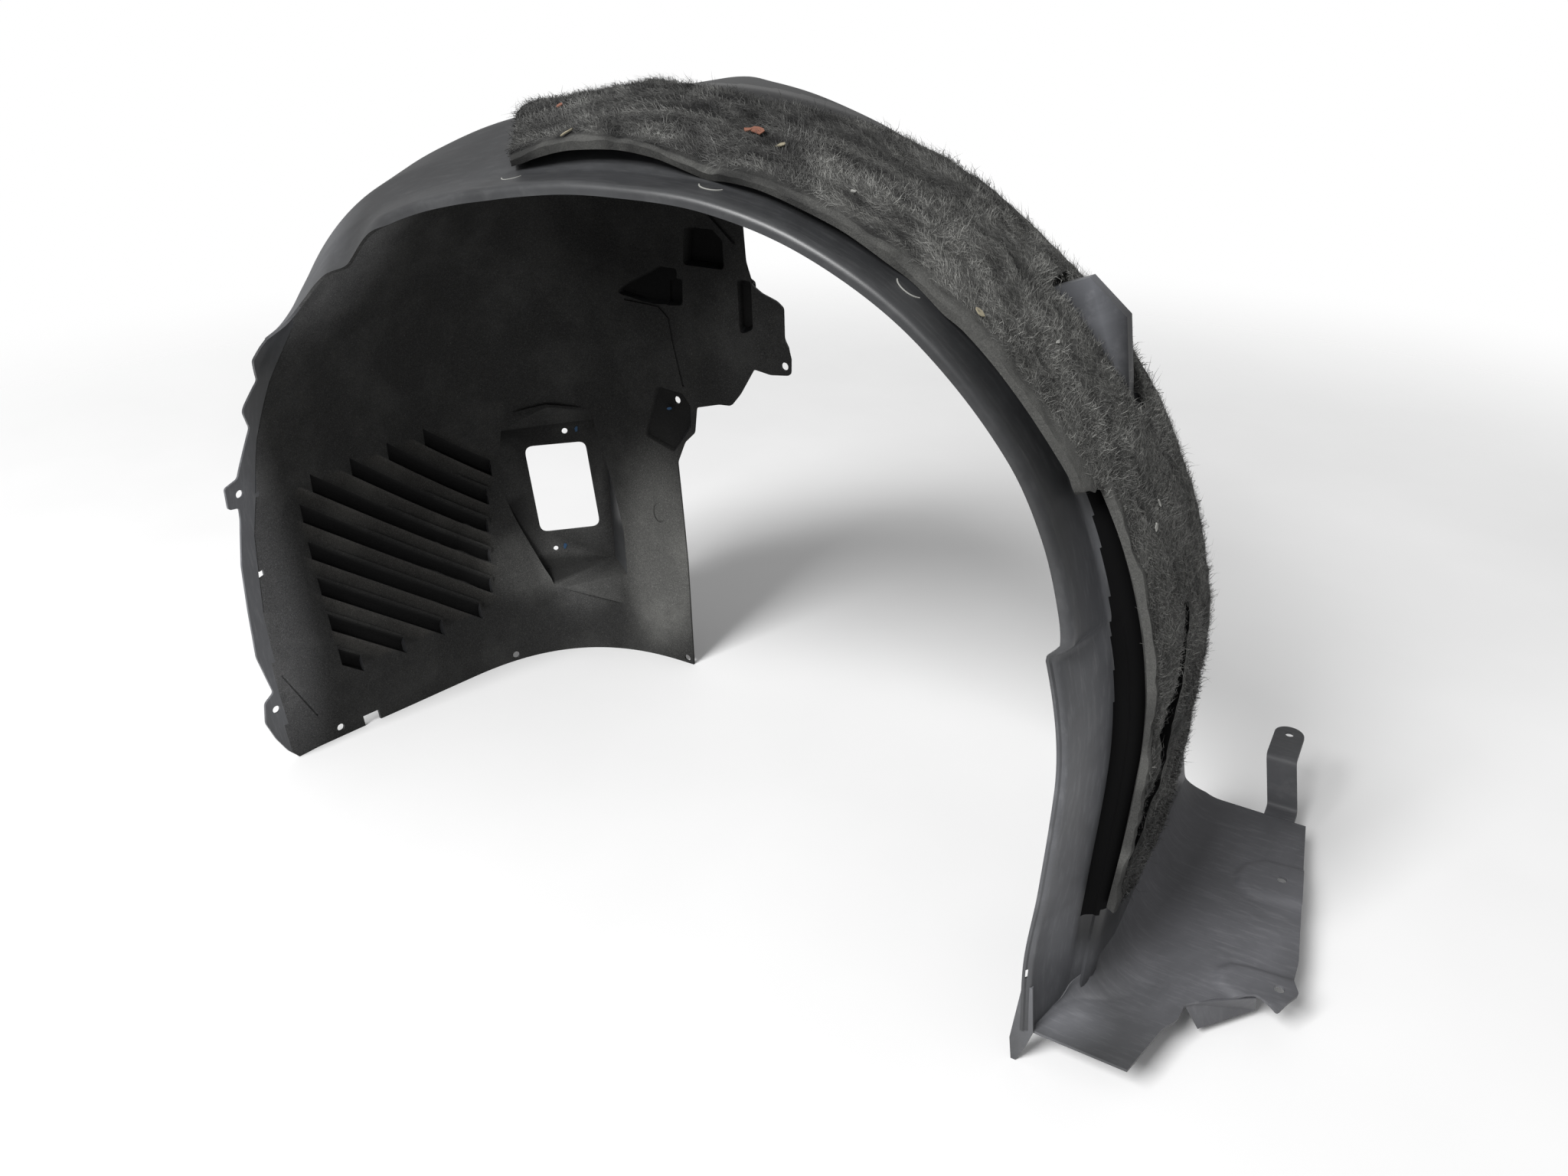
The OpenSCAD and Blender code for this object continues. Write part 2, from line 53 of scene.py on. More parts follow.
# A station from 0 to 180 is an angle round the axle, from the rear over the top to the front. Beyond these,
# 60 stations run straight down to the floor. Each row below is a station, a distance from the axle and y.
LIP = [[-52, 352, 0], [-36, 348, 0], [-20, 352, 0], [0, 354, 0], [17, 352, 0], [18.5, 364, 0],
       [24, 370, 0], [30, 375, 0], [38, 379, 0], [52, 379, 0], [66, 376, 0], [78, 371, 0],
       [90, 366, 0], [99, 367, 0], [106, 370, 0], [112, 376, 0], [118, 384, 0], [123, 391, 0]]
FRONT_EDGE = [[128, 398, 3], [134, 400, 9], [139, 416, 12], [146, 434, 20], [152, 458, 32], [157, 478, 20],
              [163, 487, 12], [169, 488, 2], [172, 488, -8], [175, 487, -40], [178, 487, -40],
              [222, 484, -40], [240, 480, -40]]
EDGE = LIP + FRONT_EDGE
FLANGE = ([[s, n + 6, y] for s, n, y in LIP] + [[s, n + 7, y + 8] for s, n, y in FRONT_EDGE if s < 155]
          + [[s, n, y + 13] for s, n, y in FRONT_EDGE if s > 155])
STRIP = [[-52, 372, 52], [-20, 376, 54], [0, 378, 54], [17, 378, 50], [30, 384, 46], [36, 388, 32],
         [52, 388, 28], [66, 385, 28], [78, 380, 27], [90, 376, 26], [99, 377, 26], [106, 381, 26],
         [112, 388, 26], [118, 398, 26], [123, 407, 28], [134, 430, 34], [146, 456, 44],
         [157, 484, 62], [170, 488, 44], [188, 487, 14], [220, 480, 10], [240, 474, 16]]
CREASE = [[-52, 384, 62], [-20, 391, 62], [0, 394, 60], [17, 395, 58], [30, 396, 57], [36, 396, 56],
          [52, 397, 56], [66, 398, 56], [78, 399, 56], [90, 400, 56], [99, 401, 56], [106, 402, 57],
          [112, 406, 59], [118, 416, 60], [123, 428, 61], [134, 452, 62], [146, 472, 66],
          [157, 486, 84], [170, 488, 78], [188, 487, 70], [220, 473, 66], [240, 461, 70]]
SHOULDER = [[-52, 389, 100], [-20, 396, 100], [0, 400, 100], [17, 402, 100], [36, 403, 98], [52, 404, 98],
            [66, 407, 98], [78, 413, 96], [90, 418, 96], [99, 421, 98], [106, 424, 100], [112, 429, 102],
            [118, 437, 104], [123, 444, 104], [134, 464, 106], [146, 479, 112], [157, 487, 130],
            [170, 488, 130], [188, 486, 130], [220, 458, 130], [240, 446, 130]]
CORNER = [[-52, 390, 372], [-40, 391, 330], [-26, 394, 272], [-12, 397, 218], [0, 400, 195],
          [17, 403, 190], [36, 404, 190], [52, 405, 190], [66, 407, 194], [76, 411, 204],
          [84, 414, 222], [92, 418, 256], [98, 422, 304], [104, 425, 350], [109, 429, 376],
          [114, 434, 376], [123, 444, 376], [134, 464, 376], [146, 479, 376], [157, 487, 376],
          [170, 488, 376], [188, 482, 376], [220, 424, 374], [240, 387, 372]]
# How far the side wall reaches towards the axle, and the radius of its corner.
DEPTH = [[-52, 12], [84, 12], [92, 22], [98, 48], [104, 120], [110, 235], [114, 242], [119, 300],
         [124, 310], [134, 312], [146, 332], [153, 332], [160, 302], [170, 302], [177, 286],
         [188, 282], [220, 232], [240, 196]]
CORNER_R = [[-52, 6], [84, 6], [92, 16], [104, 50], [123, 70], [146, 110], [170, 180], [188, 205],
            [240, 205]]
# Where the trough before the crown's bare rim begins along y, by station.
TROUGH = [[60, 190], [68, 188], [73, 172], [80, 147], [88, 127], [94, 138], [99, 178], [110, 190]]

# The front wall's field of grooves: its lowest height and its height, its near side and its width.
RIB_Z, RIB_H = 79, 224
RIB_Y, RIB_W = 66, 250
RIB_PITCH, RIB_GROOVE, RIB_DEPTH, RIB_SLOPE = 43, 17.4, 8, 39
RIB_LEAN = 0.34                             # slant of the field's far side
FALL = math.tan(math.radians(RIB_SLOPE))
RIB_HALF = RIB_GROOVE / math.cos(math.radians(RIB_SLOPE)) / 2
RIB_STARTS = [RIB_Z + 13 + RIB_PITCH * k for k in range(9)]     # middle heights at the near side
RIB_PHASE = (RIB_STARTS[0] - RIB_HALF - FALL * (ORIGIN[1] - RIB_Y)) / 1000


# Curves, sections and noise
def along(table, s, c):
    """Monotone cubic through column c of a table whose first column is the station."""
    rows = np.array(table, float)
    x, v = rows[:, 0], rows[:, c]
    slope = np.diff(v) / np.diff(x)
    m = np.empty(len(x))
    m[0], m[-1] = slope[0], slope[-1]
    a, b = slope[:-1], slope[1:]
    m[1:-1] = np.where(a * b <= 0, 0, 2 * a * b / np.where(a + b == 0, 1, a + b))
    i = np.clip(np.searchsorted(x[1:], s, "left"), 0, len(x) - 2)
    h = x[i + 1] - x[i]
    u = (s - x[i]) / h
    return (v[i] * (1 + 2 * u) * (1 - u) ** 2 + m[i] * h * u * (1 - u) ** 2
            + v[i + 1] * u * u * (3 - 2 * u) - m[i + 1] * h * u * u * (1 - u))


def unit(v):
    return v / np.maximum(np.linalg.norm(v, axis=-1, keepdims=True), 1e-9)


def rounded(a, b, c, r, n, most=0.45):
    """Points of a curve that rounds the corner b between a and c, for arrays of corners."""
    ab, cb = unit(a - b), unit(c - b)
    half = np.arccos(np.clip((ab * cb).sum(-1), -1, 1)) / 2
    la, lc = np.linalg.norm(a - b, axis=-1), np.linalg.norm(c - b, axis=-1)
    reach = np.minimum(np.maximum(3, r / np.tan(half)), np.minimum(most * la, most * lc))[:, None]
    p, q = b + ab * reach, b + cb * reach
    return [(1 - x) ** 2 * p + 2 * x * (1 - x) * b + x * x * q for x in np.linspace(0, 1, n + 1)]


def between(a, b, n):
    return [a + (b - a) * k / (n + 1) for k in range(1, n + 1)]


def sections(s):
    """Points (distance from the axle line, y) across the arch at each station, and the column marks."""
    def pair(table):
        return np.stack([along(table, s, 1), along(table, s, 2)], 1)

    p = [pair(EDGE), pair(FLANGE), pair(STRIP), pair(CREASE), pair(SHOULDER), pair(CORNER)]
    inner = p[5] - np.stack([along(DEPTH, s, 1), 0 * s], 1)
    share = ((np.minimum(190, p[5][:, 1] - 8) - p[4][:, 1]) / (p[5][:, 1] - p[4][:, 1]))[:, None]
    band = p[4] + (p[5] - p[4]) * share
    parts = [("edge", [p[0]]), ("flange", rounded(p[0], p[1], p[2], 3, 3)),
             ("strip", rounded(p[1], p[2], p[3], 10, 5)), ("crease", rounded(p[2], p[3], p[4], 14, 5)),
             ("shoulder", rounded(p[3], p[4], p[5], 40, 6))]
    gaps = {"flange": 2, "strip": 6, "crease": 3, "shoulder": 6}
    cols, marks = [], {}
    for name, pts in parts:
        if cols:
            cols += between(cols[-1], pts[0], gaps[name])
        marks[name] = len(cols)
        cols += pts
    cols += between(cols[-1], band, 18)
    marks["band"] = len(cols)
    cols.append(band)
    fillet = rounded(band, p[5], inner, along(CORNER_R, s, 1), 26, 0.9)
    cols += between(cols[-1], fillet[0], 8)
    cols += fillet
    cols += between(cols[-1], inner, 36)
    cols.append(inner)
    return np.stack(cols, 1), marks


MARK = sections(np.array([0.0]))[1]


def placed(s, sec):
    """Section points in the wheel-axis frame."""
    s = np.asarray(s, float)
    spine = np.where(s > 180, AXLE * (FRONT_FOOT - s) / 60, np.where(s < 0, AXLE * (1 + s / 60), AXLE))
    r = np.radians(np.clip(s, 0, 180))
    out = np.stack([np.cos(r), 0 * r, np.sin(r)], 1)
    p = out[:, None, :] * sec[:, :, :1]
    p[:, :, 1] += sec[:, :, 1]
    p[:, :, 2] += spine[:, None]
    return p


def grid_normals(p):
    return unit(np.cross(np.gradient(p, axis=0), np.gradient(p, axis=1)))


def smoothstep(a, b, x):
    f = np.clip((x - a) / (b - a), 0, 1)
    return f * f * (3 - 2 * f)


def value_noise(p, scale, seed=0):
    """Smooth repeatable noise from -1 to 1 at points p, for lumps and dents."""
    q = np.asarray(p, float) / scale
    i = np.floor(q).astype(np.int64)
    f = q - i
    f = f * f * (3 - 2 * f)
    total = 0
    for dx in (0, 1):
        for dy in (0, 1):
            for dz in (0, 1):
                h = ((i[..., 0] + dx) * 73856093 ^ (i[..., 1] + dy) * 19349663
                     ^ (i[..., 2] + dz) * 83492791 ^ (seed * 2654435761)) & 0xffffffff
                h = (h ^ (h >> 13)) * 1274126177 & 0xffffffff
                h = (h ^ (h >> 16)) & 0xffff
                w = ((f[..., 0] if dx else 1 - f[..., 0]) * (f[..., 1] if dy else 1 - f[..., 1])
                     * (f[..., 2] if dz else 1 - f[..., 2]))
                total = total + w * (h / 32767.5 - 1)
    return total


# Meshes
def to_row(p):
    """From the wheel-axis frame in millimetres to the row's frame in metres."""
    return (np.asarray(p, float) - ORIGIN) / 1000


def mesh_object(name, verts, faces, smooth=True):
    me = bpy.data.meshes.new(name)
    me.from_pydata([tuple(v) for v in verts], [], [tuple(f) for f in faces])
    me.validate()
    if smooth:
        me.polygons.foreach_set("use_smooth", [True] * len(me.polygons))
    return linked(name, me)


def linked(name, data):
    ob = bpy.data.objects.new(name, data)
    bpy.context.scene.collection.objects.link(ob)
    return ob


def thick_grid(name, low, high):
    """A closed sheet between two grids of points, in the row's frame."""
    h, w = low.shape[:2]
    n = h * w
    idx = np.arange(n).reshape(h, w)
    a, b, c, d = idx[:-1, :-1].ravel(), idx[:-1, 1:].ravel(), idx[1:, 1:].ravel(), idx[1:, :-1].ravel()
    faces = np.concatenate([np.stack([a, b, c, d], 1), np.stack([d, c, b, a], 1) + n])
    rim = [np.stack([idx[:-1, 0], idx[1:, 0], idx[1:, 0] + n, idx[:-1, 0] + n], 1),
           np.stack([idx[1:, -1], idx[:-1, -1], idx[:-1, -1] + n, idx[1:, -1] + n], 1),
           np.stack([idx[0, 1:], idx[0, :-1], idx[0, :-1] + n, idx[0, 1:] + n], 1),
           np.stack([idx[-1, :-1], idx[-1, 1:], idx[-1, 1:] + n, idx[-1, :-1] + n], 1)]
    faces = np.concatenate([faces] + rim)
    return mesh_object(name, np.concatenate([low.reshape(-1, 3), high.reshape(-1, 3)]), faces.tolist())


def fix_normals(ob):
    bm = bmesh.new()
    bm.from_mesh(ob.data)
    bmesh.ops.recalc_face_normals(bm, faces=bm.faces)
    bm.to_mesh(ob.data)
    bm.free()


def prism(name, outline, axis, lo, hi):
    """A solid with the given outline, extruded along an axis, all in the wheel-axis frame."""
    pts = np.array(outline, float)
    rings = []
    for h in (lo, hi):
        col = np.full(len(pts), h)
        order = {"x": [col, pts[:, 0], pts[:, 1]], "y": [pts[:, 0], col, pts[:, 1]],
                 "z": [pts[:, 0], pts[:, 1], col]}[axis]
        rings.append(np.stack(order, 1))
    n = len(pts)
    faces = [list(range(n)), list(range(2 * n - 1, n - 1, -1))]
    faces += [[k, (k + 1) % n, n + (k + 1) % n, n + k] for k in range(n)]
    ob = mesh_object(name, to_row(np.concatenate(rings)), faces, smooth=False)
    fix_normals(ob)
    return ob


def loft(name, rings):
    """A solid through rings of points in the wheel-axis frame, all in triangles."""
    m = len(rings[0])
    last = (len(rings) - 1) * m
    faces = [[0, k, k + 1] for k in range(1, m - 1)]
    faces += [[last, last + k + 1, last + k] for k in range(1, m - 1)]
    for i in range(len(rings) - 1):
        for k in range(m):
            a, b = i * m + k, i * m + (k + 1) % m
            faces += [[a, b + m, b], [a, a + m, b + m]]
    places = to_row(np.concatenate([np.array(r, float) for r in rings]))
    ob = mesh_object(name, places, faces, smooth=False)
    fix_normals(ob)
    return ob


def rod(name, at, direction, d, length=30, sides=28):
    """A solid cylinder centred at a point of the wheel-axis frame."""
    bm = bmesh.new()
    bmesh.ops.create_cone(bm, cap_ends=True, segments=sides, radius1=d / 2000, radius2=d / 2000,
                          depth=length / 1000)
    me = bpy.data.meshes.new(name)
    turn = Vector((0, 0, 1)).rotation_difference(Vector(direction)).to_matrix().to_4x4()
    bm.transform(Matrix.Translation(Vector(to_row(at))) @ turn)
    bm.to_mesh(me)
    bm.free()
    return linked(name, me)


def smooth_outline(p, r, n=4):
    """A closed outline with its corners rounded."""
    pts = np.array(p, float)
    out = []
    for i in range(len(pts)):
        corner = (pts[i - 1][None], pts[i][None], pts[(i + 1) % len(pts)][None])
        out += [q[0] for q in rounded(*corner, r, n)]
    return out


def drop(ob):
    me = ob.data
    bpy.data.objects.remove(ob)
    bpy.data.meshes.remove(me)


def boolean(ob, tools, op="DIFFERENCE"):
    """Cuts away, adds or keeps what the tools cover, and removes the tools."""
    for tool in tools:
        m = ob.modifiers.new("b", "BOOLEAN")
        m.operation = op
        m.solver = "MANIFOLD"
        m.object = tool
    graph = bpy.context.evaluated_depsgraph_get()
    me = bpy.data.meshes.new_from_object(ob.evaluated_get(graph))
    old = ob.data
    ob.modifiers.clear()
    ob.data = me
    bpy.data.meshes.remove(old)
    for tool in tools:
        drop(tool)


def join(target, others):
    """Adds the other objects' faces and materials to the target."""
    bm = bmesh.new()
    bm.from_mesh(target.data)
    mats = list(target.data.materials)
    for other in others:
        mats += [m for m in other.data.materials if m not in mats]
        slots = [mats.index(m) for m in other.data.materials]
        for f in other.data.polygons:
            f.material_index = slots[min(f.material_index, len(slots) - 1)]
        bm.from_mesh(other.data)
    bm.to_mesh(target.data)
    bm.free()
    for m in mats[len(target.data.materials):]:
        target.data.materials.append(m)
    for other in others:
        drop(other)


def finish(ob, *materials, angle=35):
    """Smooth shading with sharp edges past an angle, and the materials."""
    me = ob.data
    me.polygons.foreach_set("use_smooth", [True] * len(me.polygons))
    me.set_sharp_from_angle(angle=math.radians(angle))
    me.update()
    me.materials.clear()
    for m in materials:
        me.materials.append(m)


def vectors(items, key, kind=float):
    """Three values of every vertex, polygon or triangle, as rows."""
    values = np.empty(len(items) * 3, kind)
    items.foreach_get(key, values)
    return values.reshape(-1, 3)


# Materials
def material(name, base, rough, build=None, shine=0.5):
    m = bpy.data.materials.new(name)
    m.use_nodes = True
    nt = m.node_tree
    bsdf = nt.nodes["Principled BSDF"]
    bsdf.inputs["Base Color"].default_value = (*base, 1)
    bsdf.inputs["Roughness"].default_value = rough
    bsdf.inputs["Specular IOR Level"].default_value = shine
    if build:
        build(nt, bsdf)
    return m


def fill(nt, socket, value):
    """Sets a socket, or links another one to it."""
    if isinstance(value, bpy.types.NodeSocket):
        nt.links.new(value, socket)
    elif value is not None:
        socket.default_value = (*value, 1) if socket.type == "RGBA" else value


def node(nt, kind, settings={}, **inputs):
    """A new node with its settings and inputs."""
    n = nt.nodes.new("ShaderNode" + kind)
    for name, value in settings.items():
        setattr(n, name, value)
    for name, value in inputs.items():
        fill(nt, n.inputs[name.replace("_", " ")], value)
    return n


def coords(nt):
    return node(nt, "TexCoord").outputs["Object"]


def noise(nt, vec, scale, detail=4, rough=0.6, distortion=0.0):
    return node(nt, "TexNoise", Vector=vec, Scale=scale, Detail=detail, Roughness=rough,
                Distortion=distortion).outputs["Fac"]


def ramp(nt, fac, stops):
    """Colours by position; a single number stands for a grey."""
    r = node(nt, "ValToRGB", Fac=fac)
    full = [(pos, (col, col, col, 1) if isinstance(col, (int, float)) else (*col, 1)) for pos, col in stops]
    ends = r.color_ramp.elements
    ends[0].position, ends[0].color = full[0]
    ends[1].position, ends[1].color = full[-1]
    for pos, col in full[1:-1]:
        ends.new(pos).color = col
    return r.outputs["Color"]


def bump(nt, bsdf, height, strength, distance, chain=None):
    b = node(nt, "Bump", Height=height, Strength=strength, Distance=distance, Normal=chain).outputs["Normal"]
    nt.links.new(b, bsdf.inputs["Normal"])
    return b


def blend(nt, a, b, how, factor=1.0):
    settings = {"data_type": "RGBA", "blend_type": how}
    return node(nt, "Mix", settings, Factor=factor, A=a, B=b).outputs["Result"]


def painted(nt, name, output="Fac"):
    """A value or colour painted on the vertices."""
    return node(nt, "Attribute", {"attribute_name": name}).outputs[output]


def maths(nt, how, *values):
    n = node(nt, "Math", {"operation": how})
    for socket, value in zip(n.inputs, values):
        fill(nt, socket, value)
    return n.outputs[0]


def groove_shade_and_highlights(nt, c):
    """Painted shade in the grooves and painted highlights at the ridges, lightest and brownish towards each
    lower edge.
    """
    y, z = node(nt, "SeparateXYZ", Vector=c).outputs[1:]
    height = maths(nt, "MULTIPLY_ADD", y, FALL, z)
    grooves = maths(nt, "DIVIDE", maths(nt, "SUBTRACT", height, RIB_PHASE), RIB_PITCH / 1000)
    return ramp(nt, maths(nt, "FRACT", grooves), [
        (0.0, (1.3, 1.29, 1.27)), (0.03, 0.9), (0.48, 0.7), (0.62, (0.95, 0.94, 0.92)),
        (0.86, (1.25, 1.21, 1.16)), (0.95, (1.5, 1.46, 1.4)), (1.0, (1.6, 1.55, 1.5))])


def felt_nodes(nt, bsdf):
    c = coords(nt)
    fibre = noise(nt, c, 900, 6, 0.75, 1.5)
    cloud = noise(nt, c, 14, 5, 0.6)
    col = ramp(nt, fibre, [(0.38, 0.016), (0.56, (0.034, 0.034, 0.0335)), (0.76, (0.105, 0.105, 0.102))])
    col = blend(nt, col, ramp(nt, cloud, [(0.45, 0.0), (0.75, (0.016, 0.016, 0.0152))]), "ADD")
    # Painted shade and highlights of the grooves, only over their field.
    groove_light = blend(nt, (1, 1, 1), groove_shade_and_highlights(nt, c), "MIX", painted(nt, "field"))
    col = blend(nt, col, groove_light, "MULTIPLY")
    # Painted shade: the felt turns near black down in pockets and grooves.
    col = blend(nt, col, (0.012, 0.012, 0.012), "MIX", painted(nt, "recess_shade"))
    col = blend(nt, col, painted(nt, "painted_light_and_tone", "Color"), "MULTIPLY")
    nt.links.new(col, bsdf.inputs["Base Color"])
    n = bump(nt, bsdf, noise(nt, c, 160, 5, 0.7, 0.8), 0.3, 0.002)
    bump(nt, bsdf, fibre, 0.6, 0.0006, n)


def plastic_nodes(dark, light, haze, grain=0.12):
    """Clouded plastic with streaks of haze and a fine grain."""
    def build(nt, bsdf):
        c = coords(nt)
        cloud = noise(nt, c, 9, 6, 0.65, 0.6)
        col = ramp(nt, cloud, [(0.3, dark), (0.8, light)])
        streaks = node(nt, "Mapping", Vector=c, Scale=(1, 7, 1)).outputs["Vector"]
        col = blend(nt, col, ramp(nt, noise(nt, streaks, 40, 5, 0.7), [(0.5, 0), (0.85, haze)]), "ADD")
        col = blend(nt, col, painted(nt, "painted_light_and_tone", "Color"), "MULTIPLY")
        nt.links.new(col, bsdf.inputs["Base Color"])
        rough = bsdf.inputs["Roughness"]
        spread = node(nt, "MapRange", Value=cloud, To_Min=rough.default_value - 0.08,
                      To_Max=rough.default_value + 0.14)
        nt.links.new(spread.outputs["Result"], rough)
        n = bump(nt, bsdf, noise(nt, c, 25, 3, 0.5), 0.12, 0.003)
        bump(nt, bsdf, noise(nt, c, 1800, 2, 0.6), grain, 0.0004, n)
    return build


def locks(nt, dark, mid, light):
    """Colour of the fleece's locks, as painted on its vertices."""
    return ramp(nt, painted(nt, "lock"), [(0.12, dark), (0.5, mid), (0.92, light)])


def fleece_nodes(nt, bsdf):
    c = coords(nt)
    fibre = noise(nt, c, 700, 5, 0.8, 2.0)
    spark = ramp(nt, fibre, [(0.4, 0.6), (0.75, (1.5, 1.5, 1.46))])
    col = locks(nt, 0.016, (0.050, 0.050, 0.049), (0.11, 0.11, 0.106))
    nt.links.new(blend(nt, col, spark, "MULTIPLY"), bsdf.inputs["Base Color"])
    n = bump(nt, bsdf, noise(nt, c, 60, 6, 0.7, 1.2), 0.6, 0.003)
    bump(nt, bsdf, fibre, 0.8, 0.001, n)


def hair_nodes(nt, bsdf):
    fine = ramp(nt, noise(nt, coords(nt), 260, 3, 0.7), [(0.35, 0.5), (0.7, (1.9, 1.9, 1.86))])
    col = locks(nt, 0.022, (0.078, 0.078, 0.076), (0.19, 0.19, 0.183))
    nt.links.new(blend(nt, col, fine, "MULTIPLY"), bsdf.inputs["Base Color"])


def floor_nodes(nt, bsdf):
    """White floor that gives way to the white background far away."""
    c = coords(nt)
    nt.links.new(ramp(nt, noise(nt, c, 3, 3, 0.5), [(0.3, 0.86), (0.7, 0.90)]), bsdf.inputs["Base Color"])
    far = node(nt, "VectorMath", {"operation": "LENGTH"}, Vector=c).outputs["Value"]
    fade = node(nt, "MapRange", {"interpolation_type": "SMOOTHSTEP"}, Value=far, From_Min=1.1, From_Max=2.6)
    mix = node(nt, "MixShader", Fac=fade.outputs["Result"])
    nt.links.new(bsdf.outputs[0], mix.inputs[1])
    nt.links.new(node(nt, "BsdfTransparent").outputs[0], mix.inputs[2])
    nt.links.new(mix.outputs[0], nt.nodes["Material Output"].inputs["Surface"])


FELT = material("needle_felt", (0.01, 0.01, 0.01), 0.97, felt_nodes, 0.0)
# Painted shade: a near-black matte stands in for the shade on the rear leg's step wall and in the fleece's
# slit.
SHADE_BLACK = material("painted_shade_black", (0.004, 0.004, 0.0042), 0.8, None, 0.05)
PLASTIC = material("satin_plastic", (0.03, 0.03, 0.03), 0.36, plastic_nodes(
    (0.017, 0.0175, 0.0185), (0.034, 0.035, 0.037), (0.02, 0.02, 0.02)))
MATTE = material("matte_plastic", (0.04, 0.04, 0.04), 0.55, plastic_nodes(
    (0.042, 0.043, 0.045), (0.072, 0.073, 0.077), (0.03, 0.03, 0.03)), 0.45)
GLOSS = material("gloss_plastic", (0.012, 0.012, 0.012), 0.2, plastic_nodes(
    (0.006, 0.006, 0.0065), (0.012, 0.012, 0.013), (0.01, 0.01, 0.01), 0.05))
FLEECE = material("fleece", (0.03, 0.03, 0.03), 0.95, fleece_nodes, 0.2)
HAIR = material("fleece_hair", (0.05, 0.05, 0.05), 0.7, hair_nodes, 0.3)
RUST = material("rusty_crumb", (0.20, 0.085, 0.055), 0.9)
STRAW = material("straw_crumb", (0.27, 0.24, 0.17), 0.9)
PALE = material("pale_crumb", (0.33, 0.33, 0.31), 0.9)
BLUE = material("blue_paint", (0.012, 0.06, 0.14), 0.6)


# The moulding's sheet, its inner face and the outer face over it
stations = np.concatenate([np.linspace(FRONT_FOOT, 172, 110), np.linspace(171.2, 124, 56),
                           np.linspace(123.2, 22, 92), np.linspace(21.2, 14, 14),
                           np.linspace(13, REAR_FOOT, 52)])
sec = sections(stations)[0]
skin = placed(stations, sec)
normal = grid_normals(skin)
shift = 0.35 * value_noise(skin, 60, 3)
# Below the joggle the lip's strip steps in.
joggle = 1.6 * (1 - smoothstep(17.0, 17.8, stations))
shift[:, MARK["flange"]:MARK["crease"]] -= joggle[:, None]
# The crown's bare far rim stands up out of a shallow trough.
begins = along(TROUGH, np.clip(stations, TROUGH[0][0], TROUGH[-1][0]), 1)
begins = np.where(np.abs(stations - 84) < 20, begins, 190)[:, None]
y = sec[:, :, 1]
shift -= 6.5 * smoothstep(begins - 2, begins + 10, y) * (1 - smoothstep(160, 190, y)) * (begins < 176)
skin = skin + normal * shift[..., None]
shell = thick_grid("liner_shell_look", to_row(skin), to_row(skin + normal * WALL))


# What is pressed into the front wall
def wall(y, z):
    """Inner face of the front wall at y and z, and the direction out of it."""
    def at(y, z):
        up = math.degrees(math.asin((z - AXLE) / FRONT_X)) if z > AXLE else 0
        row = sections(np.array([180 - up if z > AXLE else FRONT_FOOT - 60 * z / AXLE]))[0][0]
        return np.array([-np.interp(y, row[:, 1], row[:, 0]) * math.cos(math.radians(up)), y, z])
    n = np.cross(at(y, z + 4) - at(y, z - 4), at(y + 4, z) - at(y - 4, z))
    return at(y, z), n / np.linalg.norm(n)


def rib_span(v):
    """Where a groove with its middle at height v begins and ends along y."""
    top, right = RIB_Z + RIB_H, RIB_Y + RIB_W
    slant = (right - RIB_LEAN * (top - 68 - v - RIB_Y * FALL)) / (1 + RIB_LEAN * FALL)
    return (RIB_Y + np.maximum(0, (v + RIB_HALF - top) / FALL),
            np.minimum(RIB_Y + (v - RIB_HALF - RIB_Z) / FALL + 20, slant))


# Height beside a groove's middle and depth, from its upper to its lower side
RIB_PROFILE = [(RIB_HALF - 1.5, 2.5), (RIB_HALF - 5, 5.5), (RIB_HALF - 10, RIB_DEPTH),
               (3 - RIB_HALF, RIB_DEPTH - 1), (1 - RIB_HALF, 3)]


def rib(v, mouth, grow, steps=7):
    """A groove falling inboard, grown on all sides."""
    a, b = rib_span(v)
    rings = []
    for k in range(steps + 1):
        y = a - grow + (b - a + 2 * grow) * k / steps
        p, n = wall(y, v - FALL * (y - RIB_Y))
        ring = [p + n * (d + grow) + np.array([0, 0, h + math.copysign(grow, h)]) for h, d in RIB_PROFILE]
        rise = np.array([0, 0, RIB_HALF + grow])
        rings.append([p + n * mouth + rise, *ring, p + n * mouth - rise])
    return loft("rib", rings)


def score(path, width, depth, n=3):
    """A narrow groove along a path of (y, z) points on the front wall."""
    path = np.array(path, float)
    pts = [a + (b - a) * k / n for a, b in zip(path[:-1], path[1:]) for k in range(n)] + [path[-1]]
    rings = []
    for i, q in enumerate(pts):
        step = unit(pts[min(i + 1, len(pts) - 1)] - pts[max(i - 1, 0)])
        p, o = wall(*q)
        side = np.array([0, -step[1], step[0]]) * width / 2
        rings.append([p - o + side, p + o * depth, p - o - side])
    return loft("score", rings)


TOE_GROOVE = [(-3, 102), (8, 76), (24, 37)]
LOW_CREASE = [(18, 301), (7, 262), (-4, 179)]
HIGH_CREASE = [(66, 474), (44, 417), (28, 360), (18, 305)]

# The window's panel has its own frame: x inboard along it, y out of the wheel space, z up.
PANEL = (Matrix.Translation((-444, 321, 195)) @ Matrix.Rotation(math.radians(45), 4, "Z")
         @ Matrix.Rotation(math.radians(-8), 4, "X"))
ACROSS_PANEL = PANEL.to_3x3() @ Vector((0, 1, 0))
WINDOW = smooth_outline([[29.5, 61], [103.5, 61], [112.5, -49], [38.5, -49]], 10, 6)


def panel(points):
    return [list(PANEL @ Vector(p)) for p in points]


